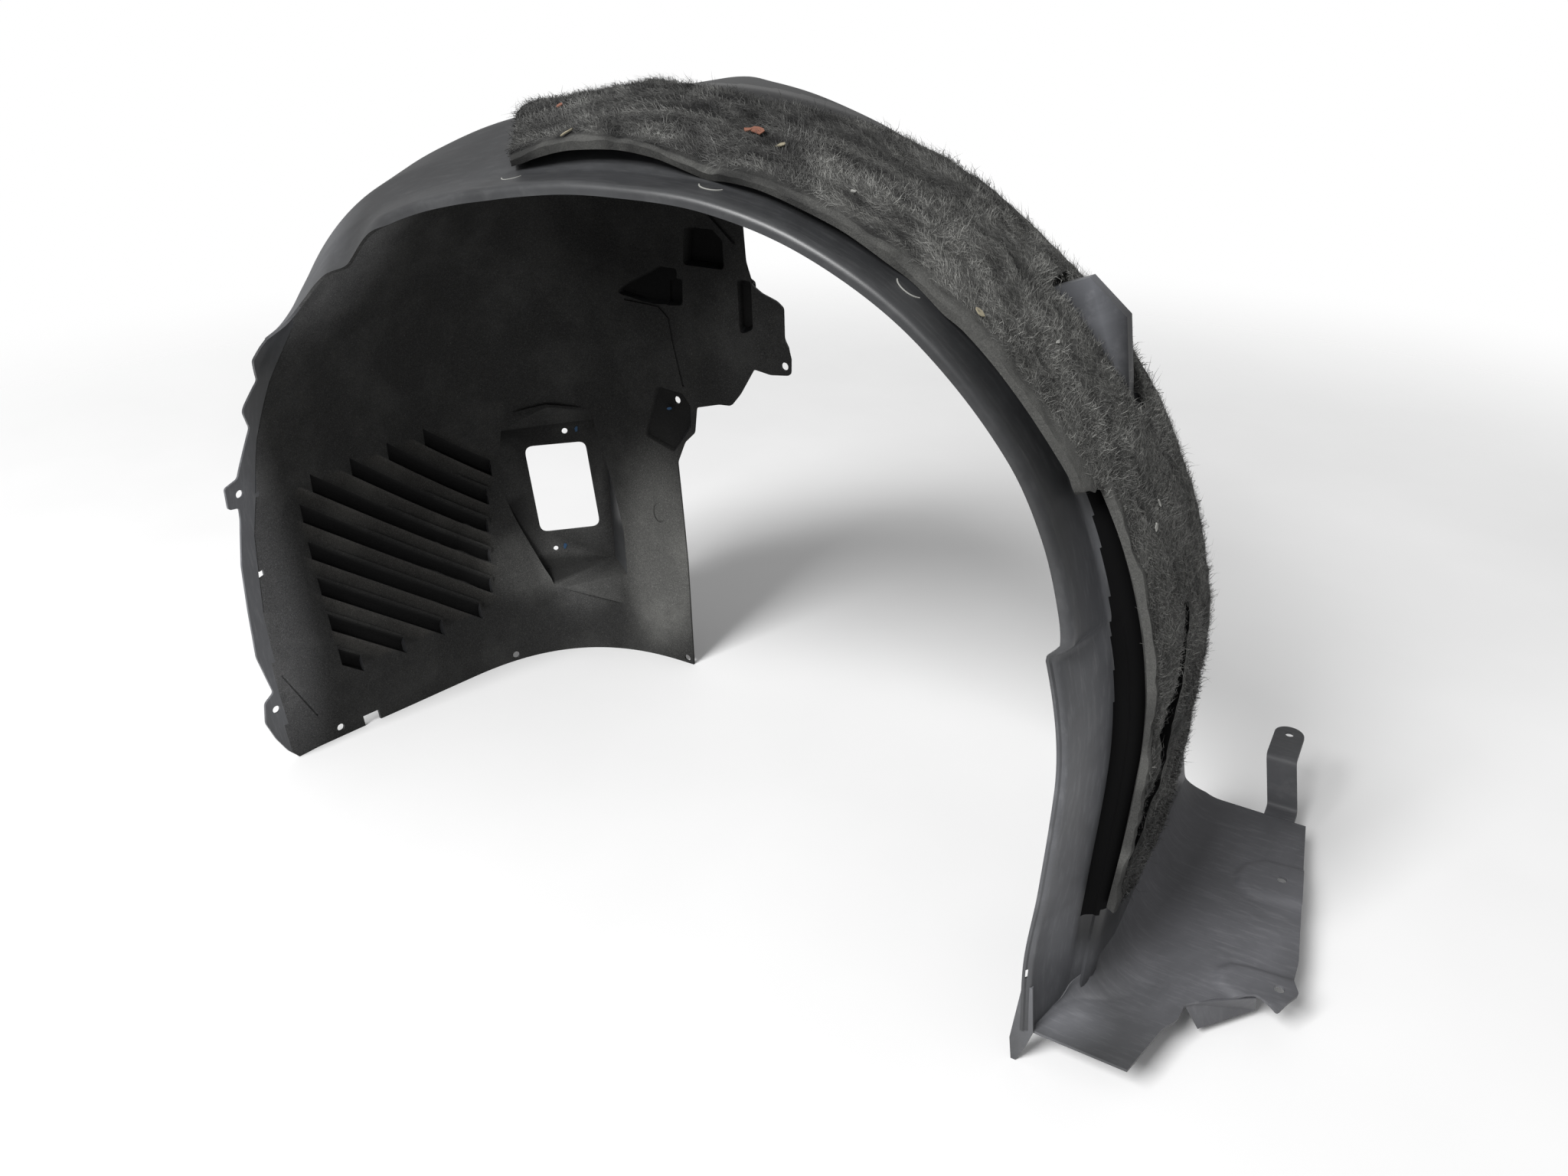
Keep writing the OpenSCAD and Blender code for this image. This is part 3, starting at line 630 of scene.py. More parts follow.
def pocket(g):
    """The panel's recess, grown by g."""
    return loft("pocket", [panel(r) for r in (
        [[-g, g, -100 - g], [60, -22 + g, -118 - g], [136 + g, -50, -140 - g]],
        [[-g, g, -88 - g], [128 + g, g, -92 - g], [136 + g, -52, -100 - g]],
        [[-g, g, 82 + g], [128 + g, g, 88 + g], [134 + g, -58, 92 + g]],
        [[-g, g, 98 + g], [60, -24 + g, 112 + g], [130 + g, -58, 106 + g]])])


# What is pressed into the side wall, as outlines with depths and paths of (x, z) points
SIDE_POCKETS = {
    "square": (12, [[-204, 494], [-151, 494], [-153, 535], [-201, 535]]),
    "scoop": (6, [[-250, 446], [-214, 450], [-210, 490], [-235, 492], [-262, 478], [-299, 454]]),
    "niche": (9, [[-229, 447], [-205, 450], [-204, 481], [-228, 479]]),
    "channel": (8, [[-137, 490], [-119, 488], [-117, 436], [-134, 428]]),
    "lobe": (4, [[-248, 357], [-211, 354], [-199, 340], [-199, 314], [-226, 277], [-268, 291]])}
RIDGE = [[-182, 556], [-140, 520]]
THIN_LINE = [[-284, 448], [-252, 447], [-238, 446], [-225, 435], [-220, 406], [-209, 360]]
SPOT = [[-251 + 9 * math.cos(a), 197 + 13 * math.sin(a)] for a in np.linspace(0, 6.28, 17)[:-1]]


def side_pockets(mouth, grow, soft=5, draft=5):
    made = []
    for name, (depth, outline) in SIDE_POCKETS.items():
        pts = np.array(smooth_outline(outline, soft, 3))
        out = unit(pts - pts.mean(0))
        made.append(loft(name, [[[q[0], SIDE_Y + d, q[1]] for q in pts + out * (grow - inset)]
                                for d, inset in ((mouth, 0), (depth + grow, draft))]))
    return made


def stroke(name, path, width, lo, hi):
    """A strip of the side wall along a path, from y = lo to y = hi."""
    p = np.array(path, float)
    side = unit(np.gradient(p, axis=0))[:, ::-1] * np.array([-1, 1]) * width / 2
    return prism(name, np.concatenate([p + side, (p - side)[::-1]]), "y", lo, hi)


# The clearance bump on the band at 48 degrees: places along and off the band, at its foot and at its top
BUMP_DOWN = np.array([math.cos(math.radians(48)), 0, -math.sin(math.radians(48))])
BUMP_OUT = np.array([math.sin(math.radians(48)), 0, math.cos(math.radians(48))])
BUMP_FOOT = np.array([[57, -3], [36, 12], [-1.5, 36], [-38, 30.5], [-50, -2]])
BUMP_TOP = np.array([[40, -3], [24, 3], [0, 5], [-25, 4], [-38, -2]])


def bump_solid(g):
    """The bump, flat towards the lip; g shrinks it by the wall."""
    rings = []
    for y, k, end in ((135, 1, g), (139, 1, 0), (147, 1, 0), (157, 0.62, 0), (166, 0, -g)):
        ring = BUMP_FOOT * k + BUMP_TOP * (1 - k)
        ring = ring - unit(ring - np.array([0, 8])) * g
        if g:
            ring[[0, -1], 1] -= 10
        rings.append([np.array([0, y + end, AXLE]) + BUMP_DOWN * u + BUMP_OUT * (404 + h) for u, h in ring])
    return loft("bump", rings)


# The moulding's outlines and holes
WALL_EDGE = smooth_outline([
    [-90, 650], [-118, 600], [-129, 542], [-126, 506], [-118, 483], [-107, 476], [-89, 470],
    [-81, 464], [-80, 432], [-72, 418], [-72, 394], [-96, 391], [-117, 394], [-135, 363],
    [-147, 348], [-162, 347], [-193, 338], [-197, 307], [-211, 293], [-222, 267], [-213, 141],
    [-207, -20], [-10, -20], [-10, 650]], 5)
FRONT_TRIM = smooth_outline([
    [-70, -20], [2, -20], [-7, 0], [-17, 13], [-26, 33], [-33, 57], [-28, 79], [-16, 87],
    [-24, 134], [-20, 187], [-15, 237], [-4, 284], [-3, 297], [-15, 299], [-15, 322], [1, 327],
    [12, 353], [21, 375], [14, 394], [16, 400], [30, 423], [20, 447], [28, 474], [-70, 474]], 4)
RIM = [[374, 39], [350, 66], [334, 84], [310, 111], [310, 130], [430, 130], [430, 39]]
HOLES = [((-485, -18, 67), (1, 0, 0)), ((-469, 45, 11), (1, 0, 0)), ((-487, 0, 311), (1, 0, 0)),
         ((-407, 270, 7), (0.87, -0.5, 0)), ((-217, 371, 7), (0, 1, 0)), ((-79, 377, 403), (0, 1, 0)),
         ((-221, 377, 341), (0, 1, 0))]


def block(name, a, b, axis, lo, hi):
    """A prism whose outline is the rectangle between two corners."""
    return prism(name, [[a[0], a[1]], [b[0], a[1]], [b[0], b[1]], [a[0], b[1]]], axis, lo, hi)


boolean(shell, [pocket(WALL), *[rib(v, WALL / 2, WALL) for v in RIB_STARTS], *side_pockets(WALL / 2, WALL),
                stroke("ridge", RIDGE, 7, 373, 377.5), bump_solid(0)], "UNION")
boolean(shell, [pocket(0), *[rib(v, -3, 0) for v in RIB_STARTS], *side_pockets(-2, 0), bump_solid(WALL),
                stroke("line", THIN_LINE, 2.6, 374, 377.3), prism("spot", SPOT, "y", 374, 377),
                score(TOE_GROOVE, 4, 1.8), score(LOW_CREASE, 2.5, 1.2), score(HIGH_CREASE, 2.5, 1.0),
                prism("edge", WALL_EDGE, "y", 340, 400), prism("front", FRONT_TRIM, "x", -520, -430),
                prism("slot", [[1, 216], [7, 217], [7, 224], [1, 223]], "x", -500, -470),
                block("notch", (72, -5), (91, 12), "x", -520, -440),
                block("leg", (70, -20), (410, 72), "x", 375, 415), prism("rim", RIM, "x", 372, 450),
                block("lip_notch", (-2, 91), (10, 100), "x", 330, 352),
                block("floor", (-520, -60), (560, 460), "z", -40, 0)])
boolean(shell, [loft("window", [panel([[x, y, z] for x, z in WINDOW]) for y in (-7, 7)]),
                *[rod("hole", *hole, CLIP_HOLE) for hole in HOLES],
                rod("hole", panel([[54.5, 1, -72]])[0], ACROSS_PANEL, 6),
                rod("hole", panel([[80, 1, 76]])[0], ACROSS_PANEL, 7)])


# Finishes of the moulding
def give_finishes(ob):
    """Felt inside, gloss on the crown's far rim, near-black as painted shade on the leg's step wall, satin
    elsewhere.
    """
    x, y, z = (vectors(ob.data.polygons, "center") * 1000 + ORIGIN).T
    to_axle = -np.stack([x, 0.6 * (y - 120), np.maximum(z - AXLE, -60)], 1)
    facing = (vectors(ob.data.polygons, "normal") * unit(to_axle)).sum(1)
    # The front wall's near margin has no felt.
    bare = np.interp(z, [0, 100, 179, 262, 301, 360, 417, 474, 520], [-14, -10, -4, 7, 18, 28, 44, 66, 8])
    felt = (facing > 0.05) & ((y > bare) | (x > -300)) & (x < 330)
    gloss = (facing < 0) & (y > 110) & (y < 205) & (x > -150) & (x < 230) & (z > 560)
    # Painted shade: the step wall beside the fleece on the rear leg gets the near-black for the shade it
    # lies in.
    shade_black_faces = (~felt & ((facing < 0.3) | (y < 62)) & (x > 240) & (y > 49) & (y < 130)
            & (z > 120 + 0.6 * (y - 50)) & (z < 480))
    ob.data.polygons.foreach_set("material_index", (felt + 2 * gloss + 3 * shade_black_faces).astype(int).tolist())


# Lighter and darker patches: centre, radii and colour factor. Several are painted light and shade:
# (second) and on the felt low in the front corner and on the side wall (third, fifth, eighth), and painted
# shade high on the side wall under the crown (sixth). The others only make their places lighter or bluer.
# the flare's lighter haze with a painted highlight on it (first), painted light on the lip over the crown
LIGHT_AND_TONE_PATCHES = [((-400, 70, 540), (140, 120, 130), (3.0, 3.0, 3.05)), ((0, 10, 640), (330, 50, 130), 1.5),
         ((-395, 300, 120), (80, 70, 60), (2.4, 2.4, 2.35)), ((-120, 376, 420), (70, 30, 90), 1.4),
         ((-250, 372, 150), (80, 40, 170), (3.4, 3.4, 3.3)), ((-250, 340, 560), (230, 230, 170), 0.6),
         ((-470, -10, 200), (60, 75, 270), (3.6, 3.6, 3.7)), ((-360, 350, 150), (60, 80, 130), 2.6),
         ((370, 30, 250), (70, 60, 340), (3.4, 3.4, 3.5)), ((330, 140, 560), (60, 30, 60), (1, 1, 1.05)),
         ((460, 230, 50), (130, 260, 90), (1.9, 1.88, 1.95)), ((301, 142, 584), (26, 20, 26), (6, 6, 6.1))]


def give_values(ob, name, values):
    ob.data.attributes.new(name, "FLOAT", "POINT").data.foreach_set("value", values)


def paint(ob):
    """How far into a pocket (painted shade), the grooves' field and how light each vertex is."""
    places = vectors(ob.data.vertices, "co") * 1000 + ORIGIN
    x, y, z = places.T
    # Painted shade: how far into a side pocket or a front-wall recess, where the felt is darkened.
    recess_shade = np.where((x > -300) & (y > SIDE_Y + 0.4) & (z > 250), np.clip((y - SIDE_Y - 0.4) / 5, 0, 1), 0)
    near = np.nonzero((x < -380) & (z > 60) & (z < 330) & (y > 50) & (y < 340))[0]
    up = np.degrees(np.arcsin(np.clip((z[near] - AXLE) / FRONT_X, 0, 1)))
    rows = sections(np.where(z[near] > AXLE, 180 - up, FRONT_FOOT - 60 * z[near] / AXLE))[0]
    face = np.array([np.interp(b, r[:, 1], r[:, 0]) for b, r in zip(y[near], rows)]) * np.cos(np.radians(up))
    recess_shade[near] = np.clip((-x[near] - face - 0.4) / 2.6, 0, 1)
    v = z + FALL * (y - RIB_Y)
    a, b = rib_span(v)
    field = (smoothstep(a - 4, a + 2, y) * (1 - smoothstep(b - 2, b + 4, y)) * (x < -380)
             * smoothstep(RIB_STARTS[0] - 14, RIB_STARTS[0] - 8, v)
             * (1 - smoothstep(RIB_STARTS[-1] + 14, RIB_STARTS[-1] + 20, v)))
    painted_light_and_tone = np.ones((len(x), 4))
    # Painted light and shade, and lighter or bluer patches, multiply each vertex's colour.
    for centre, radius, colour in LIGHT_AND_TONE_PATCHES:
        d = np.linalg.norm((places - np.array(centre)) / np.array(radius), axis=1)
        painted_light_and_tone[:, :3] *= 1 + (np.array(colour) - 1) * (1 - smoothstep(0.4, 1, d))[:, None]
    # Painted shade: the step wall beside the fleece on the rear leg is darkened, as it lies in the dark.
    step = (smoothstep(45, 52, y) * (1 - smoothstep(92, 112, y)) * smoothstep(200, 240, x)
            * (1 - smoothstep(400, 440, z)) * smoothstep(70, 110, z))
    painted_light_and_tone[:, :3] *= (1 - 0.85 * step)[:, None]
    give_values(ob, "recess_shade", recess_shade)
    give_values(ob, "field", field)
    ob.data.color_attributes.new("painted_light_and_tone", "FLOAT_COLOR", "POINT").data.foreach_set("color", painted_light_and_tone.ravel())


# The rear foot's outline, its round pads and its raised strap
PLATE = smooth_outline([
    [300, 373], [300, 3], [355, 3], [434, -5], [449, 56], [457, 70], [458, 89], [478, 107], [506, 124],
    [524, 116], [536, 141], [530, 154], [530, 181], [505, 386], [466, 384], [434, 373]], 2.5, 3)
PADS = [[[462, 268], [466, 254], [478, 246], [532, 252], [529, 303], [482, 298], [468, 286]],
        [[472, 138], [476, 124], [490, 116], [520, 116], [552, 139], [542, 158], [496, 154], [480, 150]]]
PAD_HEIGHT, PAD_SOFT = 4, 9
STRAP_X, STRAP_END, STRAP_Z, STRAP_W = 470, 446, 85.8, 28


def inside_pad(outline, x, y):
    """1 well inside a convex outline, 0 outside, with a soft edge."""
    p = np.array(outline, float)
    ahead = np.roll(p, -1, 0)
    turn = np.sign((p[:, 0] * ahead[:, 1] - ahead[:, 0] * p[:, 1]).sum())
    e = unit(ahead - p)
    d = [f[0] * (y - a[1]) - f[1] * (x - a[0]) for a, f in zip(p, e)]
    return smoothstep(-PAD_SOFT / 2, PAD_SOFT / 2, np.min(turn * np.array(d), axis=0))


def bend_and_plate():
    y = np.linspace(2, 372, 124)
    lean = smoothstep(38, 86, y)
    leg = np.interp(y, [0, 52, 62, 100, 330], [354, 372, 384, 389, 390]) + WALL
    r = 3 + (BEND_R - 3) * lean
    rows = [np.stack([leg, y, PLATE_Z + r + 22 * (1 - k / 5) * lean + 0.1], 1) for k in range(6)]
    for a in np.radians(np.linspace(180, 270, 14)[1:]):
        rows.append(np.stack([leg + r + r * math.cos(a), y, PLATE_Z + r + r * math.sin(a)], 1))
    for k in range(1, 60):
        rows.append(np.stack([leg + r + (548 - leg - r) * k / 59, y, np.full(len(y), PLATE_Z)], 1))
    top = np.stack(rows)
    flat = top[..., 2] < PLATE_Z + 0.5
    pads = np.maximum(*[inside_pad(p, top[..., 0], top[..., 1]) for p in PADS])
    top[..., 2] += PAD_HEIGHT * pads * flat + 0.5 * value_noise(top, 70, 5)
    normal = grid_normals(top)
    normal *= np.sign(normal[-1, 60, 2])
    foot = thick_grid("foot", to_row(top - normal * WALL), to_row(top))
    fix_normals(foot)
    boolean(foot, [prism("outline", PLATE, "z", -10, 160)], "INTERSECT")
    boolean(foot, [prism("rim", RIM, "x", 372, 450)]
            + [rod("hole", at, (0, 0, 1), CLIP_HOLE) for at in ((500, 276, 40), (521, 139, 40))])
    return foot


def raised_strap():
    """A strap bent up from the plate, with a round end and a leaning riser."""
    pts = [np.array([p]) for p in ([372, 35.8], [390, 35.8], [401, STRAP_Z], [STRAP_END, STRAP_Z])]
    path = np.concatenate([pts[0], *rounded(*pts[:3], 7, 5), *rounded(*pts[1:], 7, 5), pts[3]])
    run = unit(np.gradient(path, axis=0))
    side = np.stack([-run[:, 1], run[:, 0]], 1) * WALL / 2
    outline = np.concatenate([path + side, (path - side)[::-1]])
    strap = prism("strap", outline, "x", STRAP_X - STRAP_W / 2, STRAP_X + STRAP_W / 2)
    boolean(strap, [rod("cap", (STRAP_X, STRAP_END, STRAP_Z), (0, 0, 1), STRAP_W, WALL, 40)], "UNION")
    boolean(strap, [rod("hole", (STRAP_X, STRAP_END, STRAP_Z + 0.2), (0, 0, 1), CLIP_HOLE)])
    for v in strap.data.vertices:
        v.co.x += 0.24 * max(0, 0.087 - v.co.z)
    return strap


TURNED_DOWN = np.array([[457, 90, 36], [507, 125, 36], [508, 139, 10], [471, 95, 10]])
LIP_TIP = [[349, 82], [344, 22], [347, 0], [351, 0], [358, 20], [362, 36], [357, 82]]

finish(shell, PLASTIC, FELT, GLOSS, SHADE_BLACK)
give_finishes(shell)
foot = [bend_and_plate(), raised_strap(), loft("skirt", [TURNED_DOWN, TURNED_DOWN + [-1.5, 2, 0]]),
        prism("tip", LIP_TIP, "y", 0.2, 2.7)]
for part in foot:
    finish(part, MATTE)
join(shell, foot)
paint(shell)
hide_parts("liner_shell")
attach(shell, "root")


# The fleece's surfaces
# Its near edge, lifted off the strip between the welds: station, distance from the axle line and y.
NEAR = [[-30, 391, 56], [-12, 396, 55], [-4, 397.5, 54], [2, 398, 53], [7, 399, 53], [12, 400, 52],
        [18, 401, 51], [31, 401, 50], [31.7, 393, 31], [34, 396, 26], [39, 396.5, 22], [45, 396.5, 21],
        [50, 395.5, 22], [53, 392, 25], [57, 391.5, 29], [60, 393, 23], [64, 394.5, 19], [69, 393, 18],
        [74, 391, 20], [78, 387, 23], [80.8, 383, 28], [84, 387, 24], [87, 390.5, 23], [92, 393, 22],
        [97, 393, 22], [102, 391, 23], [105, 389.5, 25], [117, 396, 28]]
# Its far edge, which leaves the crown's glossy rim bare: station and y.
FAR = [[-30, 190], [62, 190], *TROUGH[1:-1], [103, 190], [117, 190]]
STATIONS, ACROSS = np.linspace(117, -30, 330), np.linspace(0, 1, 90)
GAP = 0.6                                   # between the moulding and the fleece


def underside():
    rows = []
    for st, cut in zip(STATIONS, sections(STATIONS)[0][:, MARK["crease"] + 1:MARK["band"] + 1]):
        run = unit(np.gradient(cut, axis=0))
        edge = np.array([along(NEAR, np.array([st]), k)[0] for k in (1, 2)])
        far = along(FAR, np.array([st]), 1)[0]
        c = cut + np.stack([run[:, 1], -run[:, 0]], 1) * (WALL + GAP)
        c = c[(c[:, 1] > edge[1] + 6) & (c[:, 1] < far)]
        end = [np.interp(far, cut[:, 1], cut[:, 0]) + WALL + GAP, far]
        c = np.vstack([edge, (edge + c[0]) / 2 + [1.2, -0.6], c, end])
        d = np.concatenate([[0], np.cumsum(np.linalg.norm(np.diff(c, axis=0), axis=1))])
        rows.append(np.stack([np.interp(ACROSS * d[-1], d, q) for q in c.T], 1))
    return placed(STATIONS, np.array(rows))


under = underside()
outward = grid_normals(under)
s, t = STATIONS[:, None], ACROSS[None, :]
lump = 2.0 * value_noise(under, 42, 11) + 1.7 * value_noise(under, 18, 12) + 1.1 * value_noise(under, 7, 13)
thick = 6.6 - 2.0 * smoothstep(60, 72, s) * smoothstep(0.3, 1, t)
# A fold runs slantwise over the band where the fleece was bent.
fold = np.exp(-((s - 62 + 16 * t) / 2.6) ** 2) * smoothstep(0.08, 0.3, t)
edges = 0.62 + 0.38 * np.minimum(1, np.minimum(0.05 + t, 1 - t) / 0.08)
# Locks lie along the band and swirl a little. A lock's value says how light it is.
steps = np.diff(under[:, 45], axis=0, prepend=under[:1, 45])
arc = np.cumsum(np.linalg.norm(steps, axis=1))[:, None] + 0 * t
flat = np.stack([arc, under[:, :, 1], 0 * arc], -1)
swirl = flat + np.stack([22 * value_noise(flat, 60, 21), 9 * value_noise(flat, 46, 22), 0 * arc], -1)
lock = (0.5 + 0.24 * value_noise(swirl / [4.2, 1, 1], 4.5, 23)
        + 0.20 * value_noise(swirl / [2.4, 1, 1], 9, 24) + 0.14 * value_noise(flat / [1.6, 1, 1], 38, 25))
lighter = np.interp(s, [-30, 0, 16, 40, 60, 80, 117], [-0.10, 0.10, 0.32, 0.32, 0.20, -0.12, -0.18])
lock = np.clip(lock + lighter + 0.12 * np.exp(-((s - 58 + 9 * t) / 5) ** 2), 0, 1)
lock[:, :4] = np.clip(lock[:, :4] + 0.25, 0, 1)     # the pale cut edge
over = under + outward * ((thick + lump + 1.6 * (lock - 0.5) + 2.6 * fold) * edges)[..., None]
lock_at = KDTree(lock.size)
for number, place in enumerate(to_row(over).reshape(-1, 3)):
    lock_at.insert(place, number)
lock_at.balance()

# The slit on the leg: height, middle along y and half width
SLIT = np.array([[180, 62, 2.5], [200, 76, 8], [252, 82, 10.5], [303, 87, 9.5], [341, 108, 6.5],
                 [372, 122, 3]])
SLIT_CUT = [[126, 372], [119, 374], [101, 343], [78, 304], [72, 252], [68, 202], [60, 180],
            [65, 179], [82, 198], [91, 250], [96, 302], [114, 340]]
FRONT_END = [[-320, -20], [-104, -20], [-107, 24], [-124, 45], [-150, 84], [-160, 120], [-160, 300],
             [-320, 300]]
BUMP_HOLE = [(-53, 370), (61, 370), (59, 470), (-51, 470)]


def in_slit(p, grow=0):
    x, y, z = p.T
    middle, half = (np.interp(z, SLIT[:, 0], SLIT[:, k]) for k in (1, 2))
    return (x > 370) & (z > 178) & (z < 374) & (np.abs(y - middle) < grow + half)


fleece = thick_grid("fleece_pad", to_row(under), to_row(over))
fix_normals(fleece)
boolean(fleece, [
    loft("bump_hole", [[np.array([0, y, AXLE]) + BUMP_DOWN * u + BUMP_OUT * h for u, h in BUMP_HOLE]
                       for y in (134.3, 168)]),
    prism("front_end", FRONT_END, "z", 500, 800),
    prism("slit", SLIT_CUT, "x", 380, 440)])
finish(fleece, FLEECE, SHADE_BLACK, angle=60)
nearest_lock = [lock_at.find(q)[1] for q in vectors(fleece.data.vertices, "co")]
give_values(fleece, "lock", lock.ravel()[nearest_lock])
# Painted shade: the slit's walls get the near-black material for the shade down in the slit.
for f in fleece.data.polygons:
    f.material_index = int(f.normal.x < 0.6 and in_slit(np.array(f.center)[None] * 1000 + ORIGIN, 2.5)[0])
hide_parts("acoustic_fleece")
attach(fleece, "root")


# The fleece's fibres
def strands(name, ob, count, length, width, seed):
    """Short curved fibres over the faces that look away from the axle."""
    g = np.random.default_rng(seed)
    me = ob.data
    me.calc_loop_triangles()
    a, b, c = vectors(me.vertices, "co")[vectors(me.loop_triangles, "vertices", int).T]
    cross = np.cross(b - a, c - a)
    mid = (a + b + c) / 3
    to_axle = unit(np.stack([-(mid[:, 0] + ORIGIN[0] / 1000), 0 * mid[:, 1], AXLE / 1000 - mid[:, 2]], 1))
    share = np.linalg.norm(cross, axis=1) * ((unit(cross) * to_axle).sum(1) < 0.3)
    pick = g.choice(len(a), count, p=share / share.sum())
    u, v = g.random(count), g.random(count)
    swap = u + v > 1
    u[swap], v[swap] = 1 - u[swap], 1 - v[swap]
    root = a[pick] + (b[pick] - a[pick]) * u[:, None] + (c[pick] - a[pick]) * v[:, None]
    n = unit(cross)[pick]
    rand = unit(g.normal(size=(count, 3)))
    flow = np.stack([value_noise(root * 1000, 28, k) for k in (31, 32, 33)], 1)
    up = np.maximum(root[:, 2] - AXLE / 1000, 0)
    run = unit(np.cross(unit(np.stack([root[:, 0] + ORIGIN[0] / 1000, 0 * up, up], 1)), [0, 1, 0]))
    lie = unit(0.9 * rand + flow + run)
    lie = unit(lie - (lie * n).sum(1, keepdims=True) * n)
    size = length * (0.35 + g.random(count) ** 2)[:, None]
    rise = (0.15 + 0.5 * g.random(count) ** 2)[:, None]
    p1 = root + (lie * (1 - rise) + n * rise) * size * 0.5
    p2 = p1 + unit(lie + 0.6 * unit(g.normal(size=(count, 3))) - 0.25 * n) * size * 0.5
    side = unit(np.cross(lie, n)) * width
    nearest = np.array([lock_at.find(q)[1] for q in root])
    # The slit and the pale near edge stay free.
    clear = ~(in_slit(p1 * 1000 + ORIGIN) | in_slit(p2 * 1000 + ORIGIN))
    clear &= (nearest % len(ACROSS) > 5) | (root[:, 0] < -0.14)
    root, n, p1, p2, side, nearest = (q[clear] for q in (root, n, p1, p2, side, nearest))
    root = root - n * 0.0004
    verts = np.stack([root - side, root + side, p1 - side * 0.8, p1 + side * 0.8, p2], 1).reshape(-1, 3)
    k = np.arange(len(root))[:, None] * 5
    faces = [*(np.array([[0, 1, 3, 2]]) + k).tolist(), *(np.array([[2, 3, 4]]) + k).tolist()]
    made = mesh_object(name, verts, faces)
    give_values(made, "lock", np.repeat(lock.ravel()[nearest], 5))
    made.data.materials.append(HAIR)
    return made


hair = strands("fleece_fibres", fleece, 62000, 0.013, 0.00018, 5)
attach(hair, "root")


# Crumbs, paint specks and weld marks
def one_piece(parts):
    join(parts[0], parts[1:])
    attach(parts[0], "root")


def chips(name, places, seed):
    """Small flat crumbs: centre, normal, long direction, length, width and material."""
    g = np.random.default_rng(seed)
    parts = []
    for centre, n, run, long, wide, mat in places:
        n, run = unit(np.array(n, float)), np.array(run, float)
        run = unit(run - n * (run @ n))
        angles = np.linspace(0, 2 * np.pi, 10)[:-1]
        size = 0.7 + 0.5 * g.random(9)
        side = np.cross(n, run)
        ring = [np.array(centre) + k * (run * long / 2 * math.cos(a) + side * wide / 2 * math.sin(a))
                for a, k in zip(angles, size)]
        parts.append(loft(name, [[q - n * 0.3 for q in ring], [q + n * 0.5 for q in ring]]))
        parts[-1].data.materials.append(mat)
    one_piece(parts)


def on_fleece(st, y):
    """The place on the fleece at a station and y, and the direction out of it."""
    i = int(np.abs(STATIONS - st).argmin())
    j = int(np.abs(over[i, :, 1] - y).argmin())
    return over[i, j] + outward[i, j] * 1.6, outward[i, j]


# Station, y, long direction, length, width and material
CRUMBS = [(104, 79, (1, 1, 0), 7, 5, RUST), (78.8, 67, (1, 0, -1), 11, 8, RUST),
          (79.9, 63, (1, 1, 0), 6, 4, RUST), (97.8, 28, (1, 2, 0), 11, 2.4, STRAW),
          (76.1, 61, (0, 1, -1), 8, 3, STRAW), (67.1, 51, (1, 1, 0), 4, 3, PALE),
          (50.3, 37, (1, 0, -1), 8, 5, STRAW), (24.4, 87, (0, 1, 1), 6, 3, PALE),
          (25.9, 106, (0, 0, 1), 6, 2, PALE), (44.2, 84, (1, 0, 1), 5, 2, PALE)]
SPECKS = [(q, -ACROSS_PANEL, (0, 0.3, 1), 7, 4, BLUE) for q in panel([[94, -0.4, 77], [66, -0.4, -70]])]
SPECKS.append(((-229, 375.6, 331), (0, -1, 0), (1, 0, 0.4), 8, 3, BLUE))
chips("fleece_crumbs", [(*on_fleece(st, y), *rest) for st, y, *rest in CRUMBS], 3)
chips("paint_specks", SPECKS, 4)


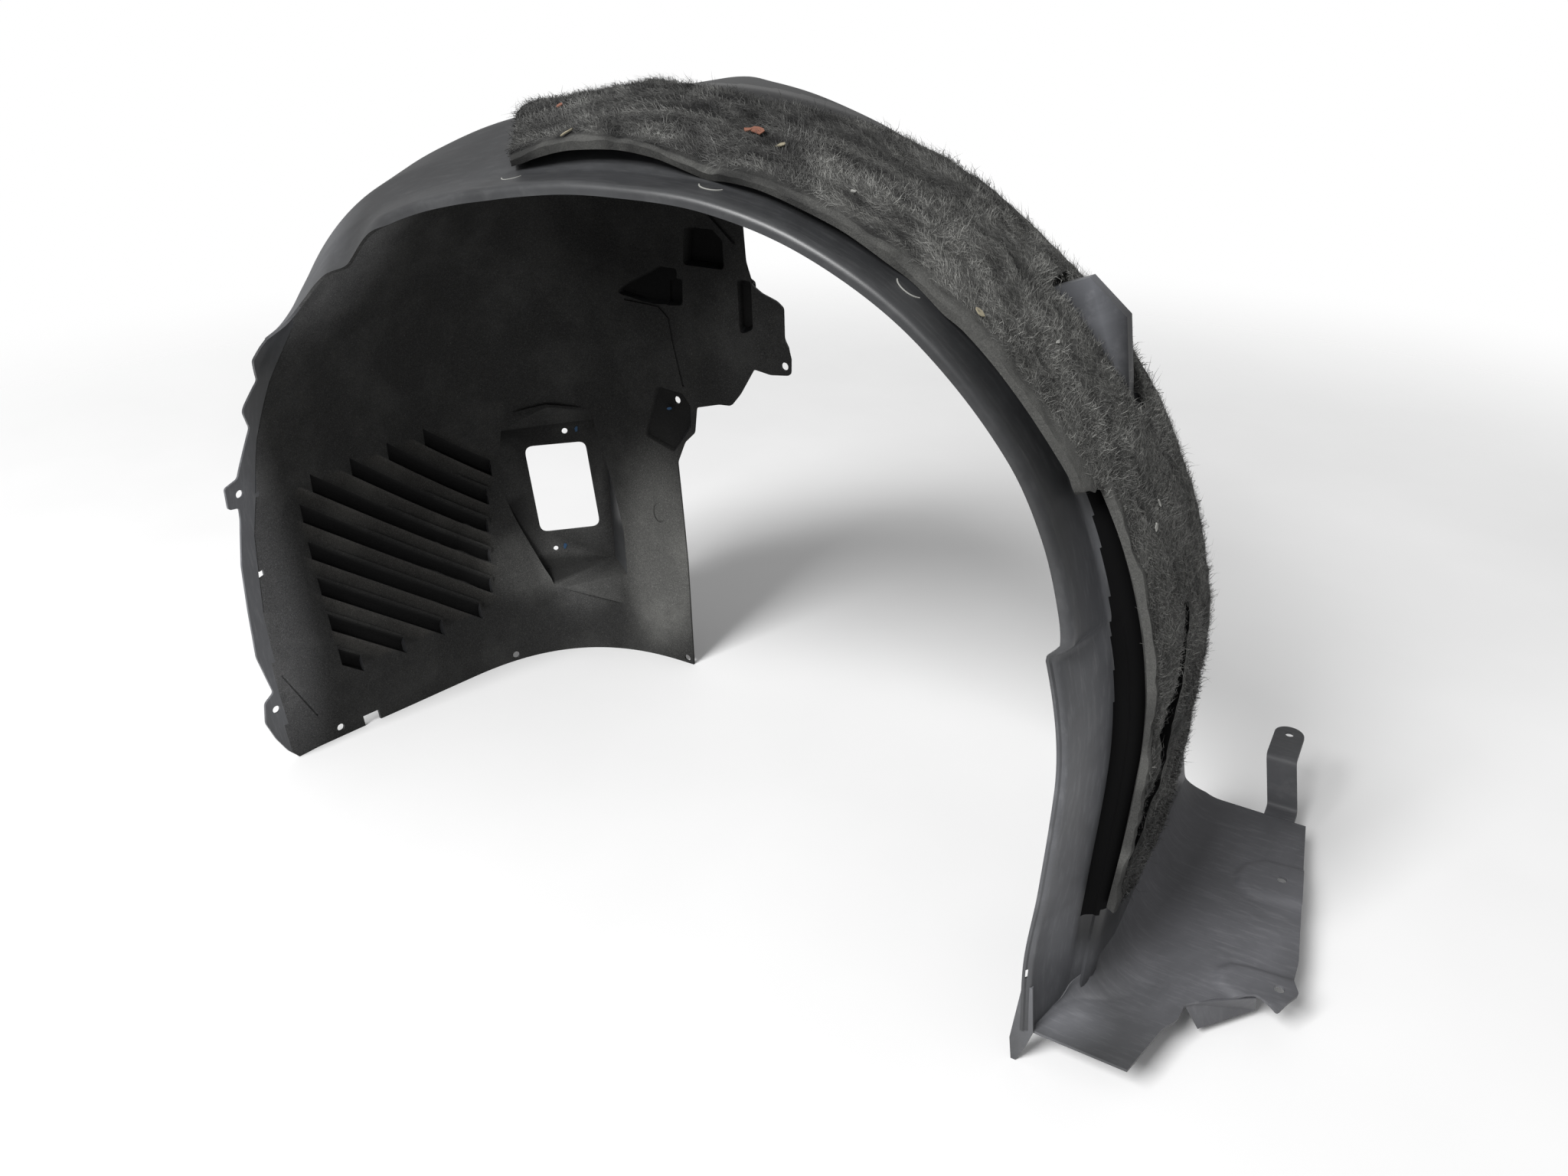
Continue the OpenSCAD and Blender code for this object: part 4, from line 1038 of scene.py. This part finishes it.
def weld_mark(name, st, y0):
    """A pale arc on the lip's strip below a weld."""
    rings = []
    for a in np.radians(np.linspace(200, 340, 15)):
        at = np.array([st + math.degrees(10 * math.cos(a) / 385)])
        y = y0 + 8 * math.sin(a)
        cut = sections(at)[0][0, MARK["flange"]:MARK["crease"]]
        p = placed(at, np.array([[[np.interp(y, cut[:, 1], cut[:, 0]) + WALL, y]]]))[0, 0]
        o = unit(np.array([p[0], 0, p[2] - AXLE]))
        ray = 0.4 * unit(np.cross(o, [0, 1, 0]) * math.cos(a) + np.array([0, math.sin(a), 0]))
        rings.append([p - ray - o, p - ray + o * 0.4, p + ray + o * 0.4, p + ray - o])
    ob = loft(name, rings)
    ob.data.materials.append(PALE)
    return ob


one_piece([weld_mark("weld_marks", *at) for at in ((106, 24), (79.6, 24), (56.6, 26))])

# Floor, light and camera
bpy.ops.mesh.primitive_circle_add(vertices=96, radius=4.2, fill_type="NGON", location=(0, 0, 0))
floor = bpy.context.object
floor.name = "floor"
floor.data.materials.append(material("white_floor", (0.82, 0.82, 0.82), 0.6, floor_nodes))

world = bpy.data.worlds.new("studio")
bpy.context.scene.world = world
world.use_nodes = True
wn = world.node_tree
bg = wn.nodes["Background"]
bg.inputs["Color"].default_value = (1, 1, 1, 1)
bg.inputs["Strength"].default_value = 0.36
# Camera rays see plain white.
seen = wn.nodes.new("ShaderNodeBackground")
seen.inputs["Color"].default_value = (1, 1, 1, 1)
path = wn.nodes.new("ShaderNodeLightPath")
choose = wn.nodes.new("ShaderNodeMixShader")
wn.links.new(path.outputs["Is Camera Ray"], choose.inputs[0])
wn.links.new(bg.outputs[0], choose.inputs[1])
wn.links.new(seen.outputs[0], choose.inputs[2])
wn.links.new(choose.outputs[0], wn.nodes["World Output"].inputs["Surface"])

key = linked("key", bpy.data.lights.new("key", "AREA"))
key.data.size = 2.1
key.data.energy = 415
key.location = (-1.0, -4.0, 4.2)
key.rotation_euler = (Vector((0, 0, 0.2)) - key.location).to_track_quat("-Z", "Y").to_euler()

camera = linked("camera", bpy.data.cameras.new("camera"))
yaw, pitch = math.radians(30), math.radians(28)
forward = Vector((-math.sin(yaw) * math.cos(pitch), math.cos(yaw) * math.cos(pitch), -math.sin(pitch)))
right = Vector((math.cos(yaw), math.sin(yaw), 0))
turn = Matrix((right, right.cross(forward), -forward)).transposed()
camera.matrix_world = Matrix.Translation(Vector(to_row((518.4, -660.2, 776.8)))) @ turn.to_4x4()
camera.data.sensor_width = 36
camera.data.lens = 1538 / 2048 * 36
camera.data.clip_end = 100
bpy.context.scene.camera = camera
bpy.context.scene.view_settings.view_transform = "Standard"
